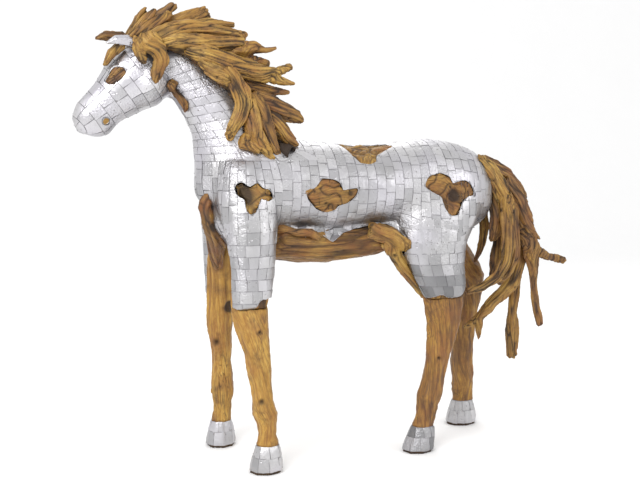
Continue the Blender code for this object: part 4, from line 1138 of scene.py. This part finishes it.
class StageSettings(bpy.types.PropertyGroup):
    """Floor, light and camera."""

    floor_colour: colour("Floor", (0.93, 0.93, 0.93), "Floor and backdrop")
    key_power: bpy.props.FloatProperty(name="Key light", default=150.0, min=0.0, unit="POWER",
                                       description="Power of the main soft light")
    fill_power: bpy.props.FloatProperty(name="Fill light", default=40.0, min=0.0, unit="POWER",
                                        description="Power of the fill light")
    sky_strength: bpy.props.FloatProperty(name="Surroundings", default=1.0, min=0.0,
                                          description="Brightness of the pale surroundings")
    lens: bpy.props.FloatProperty(name="Lens", default=54.3, min=10.0, unit="CAMERA",
                                  description="Focal length")


def sheet_settings():
    return bpy.context.scene.horse_sheet


# The woods, each with how light it is and how much redder than the palest; the bed under the mane is kept
# dark as painted shade
WOODS = {"Teak_Leg": (1.22, 0.0), "Teak_Body": (0.95, 0.25), "Teak_Inlay": (0.9, 0.1),
         "Teak_Mane": (1.0, 0.0), "Teak_Bed": (0.3, 0.0), "Teak_Tail": (0.92, 0.0)}


def metal(name):
    """One of the metals, made once and used by several pieces."""
    makers = {"Hammered_Sheet": sheet_paint, "Seam_Sheet": seam_shade_paint, "Nail_Steel": nail_paint}
    return bpy.data.materials.get(name) or makers[name](name, sheet_settings())


# Where the body form is eased further: its edges in units, and over how many units the easing fades in
TRUNK_FOOT, TRUNK_FRONT, TRUNK_TOP = 54.0, -36.0, 80.0
FOOT_FADE, FRONT_FADE, TOP_FADE = 5.0, 5.0, 6.0
BODY_EASING, TRUNK_EASING = 16, 50      # rounds of smoothing


def body_skin():
    """The smooth form under the sheet, made once."""
    kept = bpy.data.objects.get("Body_Form")
    if kept:
        return kept
    names = ("clad_body", "belly_root") + INLAYS + EYES + PEGS
    skin = remeshed("Body_Form", names, sheet_settings().bed_voxel, BODY_EASING)
    x, _, z = coordinates(skin.data).T / UNIT
    trunk = np.clip((z - TRUNK_FOOT) / FOOT_FADE, 0, 1) * np.clip((x - TRUNK_FRONT) / FRONT_FADE, 0, 1)
    trunk *= np.clip((TRUNK_TOP - z) / TOP_FADE, 0, 1)
    group = skin.vertex_groups.new(name="trunk")
    for index, weight in enumerate(trunk.tolist()):
        if weight:
            group.add([index], weight, "REPLACE")
    ease = skin.modifiers.new("ease", "SMOOTH")
    ease.iterations = TRUNK_EASING
    ease.vertex_group = group.name
    baked(skin)
    skin.hide_render = True
    skin.hide_viewport = True
    return skin


class HORSE_OT_sheet_bed(bpy.types.Operator):
    """Make the sheet under the squares, dark as painted shade in their seams, open over the wood"""
    bl_idname = "horse.sheet_bed"
    bl_label = "Bed of the Cladding"

    def execute(self, context):
        settings = sheet_settings()
        obj = bpy.data.objects.new("Cladding_Bed", body_skin().data.copy())
        context.scene.collection.objects.link(obj)
        trim_sheet(obj, Openings(), BED_EASING)
        # the bed's dark sheet is painted shade in the seams between the squares
        dressed(obj, metal("Seam_Sheet"), "hammered_metal", "clad_body")
        beads = rim_beads("Cladding_Rims", obj.data, settings.rim_radius)
        store(beads.data, "sheet", "FLOAT_VECTOR", np.full((len(beads.data.vertices), 3), 0.5))
        dressed(beads, metal("Hammered_Sheet"), "hammered_metal")
        return {"FINISHED"}


BED_EASING = 8          # rounds of smoothing along the edges of the bed
BROW_SWELL = 2.2        # how many times thicker than a plain rim the lip over an eye is
BROW_REACH = 1.5        # how far from an eye's middle its lip runs, in half sizes of the eye
LEAST_LOOP = 8          # an open edge of no more sides than this gets no bead


def brow(place):
    """How much of the lip over an eye a place takes part in, from 0 to 1."""
    for name in EYES:
        low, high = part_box(name)
        middle, half = (low + high) / 2, (high - low) / 2
        if (place - middle).length < BROW_REACH * half.length:
            return min(max((place.z - middle.z) / half.z, 0.0), 1.0)
    return 0.0


def rim_beads(name, mesh, radius):
    """Beads of turned sheet along the open edges of a mesh."""
    bm = bmesh.new()
    bm.from_mesh(mesh)
    loops = []
    unused = dict.fromkeys(edge for edge in bm.edges if edge.is_boundary)
    while unused:
        edge = next(iter(unused))
        del unused[edge]
        loop = list(edge.verts)
        while True:
            following = [item for item in loop[-1].link_edges if item in unused]
            if not following:
                break
            del unused[following[0]]
            loop.append(following[0].other_vert(loop[-1]))
        if len(loop) > LEAST_LOOP:
            loops.append([vert.co.copy() for vert in loop[:-1]])
    bm.free()
    curve = bpy.data.curves.new(name, "CURVE")
    curve.dimensions = "3D"
    curve.bevel_depth = radius
    curve.bevel_resolution = 1
    for loop in loops:
        spline = curve.splines.new("POLY")
        spline.use_cyclic_u = True
        spline.points.add(len(loop) - 1)
        for point, place in zip(spline.points, loop):
            point.co = (*place, 1.0)
            point.radius = 0.8 + 0.5 * noise.noise(place * 60) + BROW_SWELL * brow(place)
    wire = bpy.data.objects.new(name, curve)
    bpy.context.scene.collection.objects.link(wire)
    graph = bpy.context.evaluated_depsgraph_get()
    beads = bpy.data.objects.new(name, bpy.data.meshes.new_from_object(wire.evaluated_get(graph)))
    bpy.data.objects.remove(wire)
    bpy.context.scene.collection.objects.link(beads)
    beads.name = name
    return beads


class HORSE_OT_squares(bpy.types.Operator):
    """Nail the squares of hammered sheet on to every part of the body"""
    bl_idname = "horse.squares"
    bl_label = "Squares of Sheet"

    def execute(self, context):
        settings = sheet_settings()
        tree = tree_round(body_skin())
        gone = Openings()
        for part, stations in SLEEVES.items():
            dice = random.Random(part)
            sleeve = Sleeve(tree, stations)
            course, breadth, length, stand = COURSES[part]
            squares = course(sleeve, breadth, length, dice)
            obj, laid = lay_squares(part.title() + "_Squares", sleeve, squares, OWNERS[part], gone, stand,
                                    settings, dice)
            dressed(obj, metal("Hammered_Sheet"), "hammered_metal")
            nails = drive_nails(part.title() + "_Nails", sleeve, laid, gone, stand, settings, dice)
            dressed(nails, metal("Nail_Steel"), "hammered_metal")
        return {"FINISHED"}


HOOF_VOXEL = 0.0045     # size of the faces of the bed under a hoof's squares, in metres
HOOF_EASING = 8         # rounds of smoothing of that bed
HOOF_SQUARE = (0.042, 0.040)    # height and length of a hoof's squares, in metres
HOOF_FOOT, HOOF_TOP = 0.001, 0.004      # their distance from the sole and from the hoof's top, in metres
BED_TOP = 0.003         # how far below its top a hoof's bed ends, in metres


class HORSE_OT_hooves(bpy.types.Operator):
    """Make the hammered sleeves round the hooves"""
    bl_idname = "horse.hooves"
    bl_label = "Hooves"

    beating: metres("Beating", 0.0028, "How far the hoof's sheet is beaten out")

    def execute(self, context):
        settings = sheet_settings()
        everywhere, nowhere = (lambda place: True), (lambda place, way: False)
        for name in HOOVES:
            low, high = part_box(name)
            title = name.title()
            bed = remeshed(title + "_Bed", [name, name.replace("hoof", "leg")], HOOF_VOXEL, HOOF_EASING)
            tree = tree_round(bed)
            foot, top = low.z + HOOF_FOOT, high.z - BED_TOP
            trim_sheet(bed, lambda place, way: not foot < place.z < top, RIM_EASING)
            # its dark sheet is painted shade in the seams
            dressed(bed, metal("Seam_Sheet"), "hammered_metal")
            middle = (low + high) / 2 / UNIT
            ends = ((high.z - HOOF_TOP) / UNIT, foot / UNIT)
            sleeve = Sleeve(tree, [(middle.x, middle.y, end, 0, 0) for end in ends])
            dice = random.Random(name)
            squares = in_rows(sleeve, *HOOF_SQUARE, dice)
            obj, laid = lay_squares(title, sleeve, squares, everywhere, nowhere, 0.0, settings, dice)
            places = coordinates(obj.data)
            beaten = self.beating * np.abs(crumple(places, FOLD_SIZE / 2, 12.0))
            put_back(obj.data, places + normals(obj.data) * beaten[:, None])
            dressed(obj, metal("Hammered_Sheet"), "hammered_metal", name)
            nails = drive_nails(title + "_Nails", sleeve, laid, nowhere, 0.0, settings, dice)
            dressed(nails, metal("Nail_Steel"), "hammered_metal")
        return {"FINISHED"}


EAR_VOXEL = 0.0024      # size of the ear's faces, in metres
EAR_TONE = 0.85         # tone of the ear's sheet outside its hollow


class HORSE_OT_left_ear(bpy.types.Operator):
    """Make the clad ear"""
    bl_idname = "horse.left_ear"
    bl_label = "Clad Ear"

    hollow_depth: metres("Hollow", 0.009, "Depth of the ear's open side")

    def execute(self, context):
        settings = sheet_settings()
        obj = remeshed("Ear_Left", ["ear_left"], EAR_VOXEL, 3)
        places, ways = coordinates(obj.data), normals(obj.data)
        open_side = np.clip(-1.6 * ways[:, 2] - 0.5 * ways[:, 0] - 0.25, 0, 1)
        height = settings.crumple * crumple(places, FOLD_SIZE, 8.0) - self.hollow_depth * open_side
        put_back(obj.data, places + ways * height[:, None])
        sheet = np.full((len(places), 3), 0.5)
        # the open side's sheet is painted dark, as painted shade in the ear's hollow
        sheet[:, 2] = EAR_TONE * (1 - open_side)
        store(obj.data, "sheet", "FLOAT_VECTOR", sheet)
        dressed(obj, metal("Hammered_Sheet"), "hammered_metal", "ear_left")
        return {"FINISHED"}


LEG_TOP = 41.0          # height up to which the legs run inside the sheet, in units
LEG_TOP_INSET = 0.007   # how far inside it, in metres
TOP_SPLIT, TOP_BUNDLE, TOP_WIDTH = 0.003, 0.002, 0.022  # their splits' depth, splinters' height and width


def leg_tops(paint):
    """The wood of the legs that shows above the ragged hems of the sheet."""
    bm = bmesh.new()
    bm.from_mesh(body_skin().data)
    away = [face for face in bm.faces if face.calc_center_median().z > LEG_TOP * UNIT]
    bmesh.ops.delete(bm, geom=away, context="FACES")
    for vert in bm.verts:
        vert.co -= Vector((vert.normal.x, vert.normal.y, 0)) * LEG_TOP_INSET
    obj = as_object("Leg_Tops", bm)
    places = coordinates(obj.data)
    bundles, splits = splinters(places, TOP_WIDTH, 5.0)
    sides = normals(obj.data) * (1, 1, 0)
    put_back(obj.data, places - sides * (TOP_SPLIT * splits + TOP_BUNDLE * bundles)[:, None])
    # darker in the splits, as painted shade
    grained(obj.data, places, 0.10 + 0.5 * splits, 0.4)
    return dressed(obj, paint, "teak_root")


class HORSE_OT_legs(bpy.types.Operator):
    """Carve the four bare legs"""
    bl_idname = "horse.legs"
    bl_label = "Legs"

    def execute(self, context):
        settings = context.scene.horse_wood
        paint = wood_paint("Teak_Leg", settings, *WOODS["Teak_Leg"])
        for name in LEGS:
            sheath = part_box(name.replace("leg", "hoof"))[1].z
            carve_root(name, paint, settings, sheath)
        leg_tops(paint)
        return {"FINISHED"}


class HORSE_OT_body_roots(bpy.types.Operator):
    """Carve the roots of the belly, chest, throat, brow and far ear"""
    bl_idname = "horse.body_roots"
    bl_label = "Body Roots"

    def execute(self, context):
        settings = context.scene.horse_wood
        paint = wood_paint("Teak_Body", settings, *WOODS["Teak_Body"])
        for name in BODY_ROOTS:
            carve_root(name, paint, settings)
        return {"FINISHED"}


PEG_VOXEL = 0.0018      # size of a nostril peg's faces, in metres


class HORSE_OT_inlays(bpy.types.Operator):
    """Carve the wood that shows through the cladding, with the eyes and nostrils"""
    bl_idname = "horse.inlays"
    bl_label = "Inlays, Eyes and Nostrils"

    def execute(self, context):
        settings = context.scene.horse_wood
        paint = wood_paint("Teak_Inlay", settings, *WOODS["Teak_Inlay"])
        for name in INLAYS + EYES:
            carve_root(name, paint, settings)
        pegs = end_grain_paint("Teak_End", settings)
        for name in PEGS:
            obj = remeshed(name.title(), [name], PEG_VOXEL, 3)
            places = coordinates(obj.data)
            middle = (places.min(axis=0) + places.max(axis=0)) / 2
            grained(obj.data, (places - middle)[:, (0, 2, 1)], np.zeros(len(places)), 0.5)
            dressed(obj, pegs, "teak_root", name)
        return {"FINISHED"}


STUB_SIGHT = (-16.0, -12.0, 68.6)   # a place, in units, on the line of sight to the stub under the mane
STUB_WAY = (0.62, -0.62, -0.30)     # the way its mouth faces
STUB_RADIUS = 0.030     # at its mouth, in metres, with 0.6 of that at its foot
STUB_LENGTH = 0.10      # in metres, with 0.6 of that hollow
STUB_WALL = 0.006       # in metres
STUB_STAND = 0.016       # how far its mouth stands out from the body, in metres
STUB_UNEVEN = 0.004     # height of its bumps, in metres


def hollow_stub(paint):
    """The broken end of a hollow root that looks out from under the mane's last falls."""
    eye = Vector(EYE_PLACE)
    sight = (Vector(STUB_SIGHT) * UNIT - eye).normalized()
    spot = tree_round(body_skin()).ray_cast(eye, sight)[0]
    way = Vector(STUB_WAY).normalized()
    turn = way.to_track_quat("Z", "Y").to_matrix().to_4x4()
    place = Matrix.Translation(spot - way * (STUB_LENGTH / 2 - STUB_STAND)) @ turn
    bm = bmesh.new()
    bmesh.ops.create_cone(bm, cap_ends=True, segments=24, radius1=0.6 * STUB_RADIUS, radius2=STUB_RADIUS,
                          depth=STUB_LENGTH)
    mouth = max(bm.faces, key=lambda face: face.calc_center_median().z)
    bmesh.ops.inset_region(bm, faces=[mouth], thickness=STUB_WALL, use_even_offset=True)
    floor = bmesh.ops.extrude_discrete_faces(bm, faces=[mouth])["faces"][0]
    for vert in floor.verts:
        vert.co.z -= 0.6 * STUB_LENGTH
    bmesh.ops.subdivide_edges(bm, edges=bm.edges, cuts=3, use_grid_fill=True)
    bmesh.ops.recalc_face_normals(bm, faces=bm.faces)
    bmesh.ops.transform(bm, matrix=place, verts=bm.verts)
    obj = as_object("Mane_Stub", bm)
    places = coordinates(obj.data)
    uneven = crumple(places, 0.02, 6.0)
    put_back(obj.data, places + normals(obj.data) * (STUB_UNEVEN * uneven)[:, None])
    # darker all over, as painted shade under the mane
    grained(obj.data, places, 0.55 + 0.5 * np.abs(uneven), 0.5)
    return dressed(obj, paint, "teak_root")


class HORSE_OT_mane(bpy.types.Operator):
    """Carve the roots of the mane and their bed"""
    bl_idname = "horse.mane"
    bl_label = "Mane"

    def execute(self, context):
        settings = context.scene.horse_wood
        paint = wood_paint("Teak_Mane", settings, *WOODS["Teak_Mane"])
        for name in sorted(NODES):
            if name.startswith(("mane_", "forelock_")):
                carve_root(name, paint, settings)
        # the bed's wood under the mane is a dark copy of the teak, painted shade
        bed = wood_paint("Teak_Bed", settings, *WOODS["Teak_Bed"])
        carve_root("crest_root", bed, settings)
        hollow_stub(bed)
        return {"FINISHED"}


class HORSE_OT_tail(bpy.types.Operator):
    """Carve the roots of the tail"""
    bl_idname = "horse.tail"
    bl_label = "Tail"

    def execute(self, context):
        settings = context.scene.horse_wood
        paint = wood_paint("Teak_Tail", settings, *WOODS["Teak_Tail"])
        for name in sorted(NODES):
            if name.startswith("tail_"):
                carve_root(name, paint, settings)
        return {"FINISHED"}


# The photograph's viewpoint: the eye in metres, how far the view turns right from +Y and dips, in degrees
EYE_PLACE = (-1.338, -3.711, 1.279)
VIEW_TURN = 18.6
VIEW_DIP = 5.9
SENSOR_WIDTH = 36.0     # in millimetres
FLOOR_HALF = 9.0        # half the side of the floor, in metres
WALL_HEIGHT = 7.0       # in metres
WALL_BEND = 3.5         # radius of the sweep from floor to wall, in metres
# The lights: name, place and side in metres, and the setting that holds the power
LIGHTS = (("Key", (-3.2, -3.4, 3.8), 2.4, "key_power"), ("Fill", (3.6, -3.4, 2.6), 2.6, "fill_power"),
          ("Back", (1.0, 3.6, 4.0), 3.0, "fill_power"))
LIGHTS_LOOK_AT = (0.0, 0.0, 0.9)


class HORSE_OT_stage(bpy.types.Operator):
    """Set up the floor, the soft lights and the camera"""
    bl_idname = "horse.stage"
    bl_label = "Stage"

    def execute(self, context):
        settings = context.scene.horse_stage
        bm = bmesh.new()
        bmesh.ops.create_grid(bm, x_segments=1, y_segments=1, size=FLOOR_HALF)
        far = [edge for edge in bm.edges if all(vert.co.y > 0 for vert in edge.verts)]
        wall = bmesh.ops.extrude_edge_only(bm, edges=far)
        for item in wall["geom"]:
            if isinstance(item, bmesh.types.BMVert):
                item.co.z = WALL_HEIGHT
        fold = [edge for edge in bm.edges if all(vert.co.y > 0 and vert.co.z == 0 for vert in edge.verts)]
        bmesh.ops.bevel(bm, geom=fold, offset=WALL_BEND, segments=16, profile=0.5, affect="EDGES",
                        material=-1)
        floor = as_object("Floor", bm)
        floor.data.materials.append(plain_paint("Floor_Pale", settings.floor_colour, 0.9))
        for name, place, size, power in LIGHTS:
            add_light(name, place, size, getattr(settings, power))
        world = bpy.data.worlds.new("Surroundings")
        context.scene.world = world
        world.use_nodes = True
        sky = world.node_tree.nodes["Background"]
        sky.inputs["Color"].default_value = (1, 1, 1, 1)
        sky.inputs["Strength"].default_value = settings.sky_strength
        lens = bpy.data.cameras.new("Camera")
        lens.lens = settings.lens
        lens.sensor_width = SENSOR_WIDTH
        camera = bpy.data.objects.new("Camera", lens)
        context.scene.collection.objects.link(camera)
        camera.location = EYE_PLACE
        camera.rotation_euler = (math.radians(90 - VIEW_DIP), 0, math.radians(-VIEW_TURN))
        context.scene.camera = camera
        context.scene.view_settings.view_transform = "Standard"
        return {"FINISHED"}


def add_light(name, place, size, power):
    """A soft square light that looks at the statue."""
    lamp = bpy.data.lights.new(name, "AREA")
    lamp.size = size
    lamp.energy = power
    obj = bpy.data.objects.new(name, lamp)
    bpy.context.scene.collection.objects.link(obj)
    obj.location = place
    obj.rotation_euler = (Vector(LIGHTS_LOOK_AT) - Vector(place)).to_track_quat("-Z", "Y").to_euler()


class HORSE_PT_panel(bpy.types.Panel):
    """Steps that dress the horse"""
    bl_label = "Driftwood Horse"
    bl_idname = "HORSE_PT_panel"
    bl_space_type = "VIEW_3D"
    bl_region_type = "UI"
    bl_category = "Horse"

    def draw(self, context):
        for step in STEPS:
            self.layout.operator(step.bl_idname)


STEPS = (HORSE_OT_sheet_bed, HORSE_OT_squares, HORSE_OT_hooves, HORSE_OT_left_ear, HORSE_OT_legs,
         HORSE_OT_body_roots, HORSE_OT_inlays, HORSE_OT_mane, HORSE_OT_tail, HORSE_OT_stage)
GROUPS = (SheetSettings, WoodSettings, StageSettings)


def register():
    for item in GROUPS + STEPS + (HORSE_PT_panel,):
        bpy.utils.register_class(item)
    bpy.types.Scene.horse_sheet = bpy.props.PointerProperty(type=SheetSettings)
    bpy.types.Scene.horse_wood = bpy.props.PointerProperty(type=WoodSettings)
    bpy.types.Scene.horse_stage = bpy.props.PointerProperty(type=StageSettings)


def unregister():
    del bpy.types.Scene.horse_sheet, bpy.types.Scene.horse_wood, bpy.types.Scene.horse_stage
    for item in reversed(GROUPS + STEPS + (HORSE_PT_panel,)):
        bpy.utils.unregister_class(item)


def main():
    register()
    bpy.ops.horse.sheet_bed()
    bpy.ops.horse.squares()
    bpy.ops.horse.hooves()
    bpy.ops.horse.left_ear()
    bpy.ops.horse.legs()
    bpy.ops.horse.body_roots()
    bpy.ops.horse.inlays()
    bpy.ops.horse.mane()
    bpy.ops.horse.tail()
    bpy.ops.horse.stage()
    bpy.data.objects.remove(body_skin())


if __name__ == "__main__":
    main()
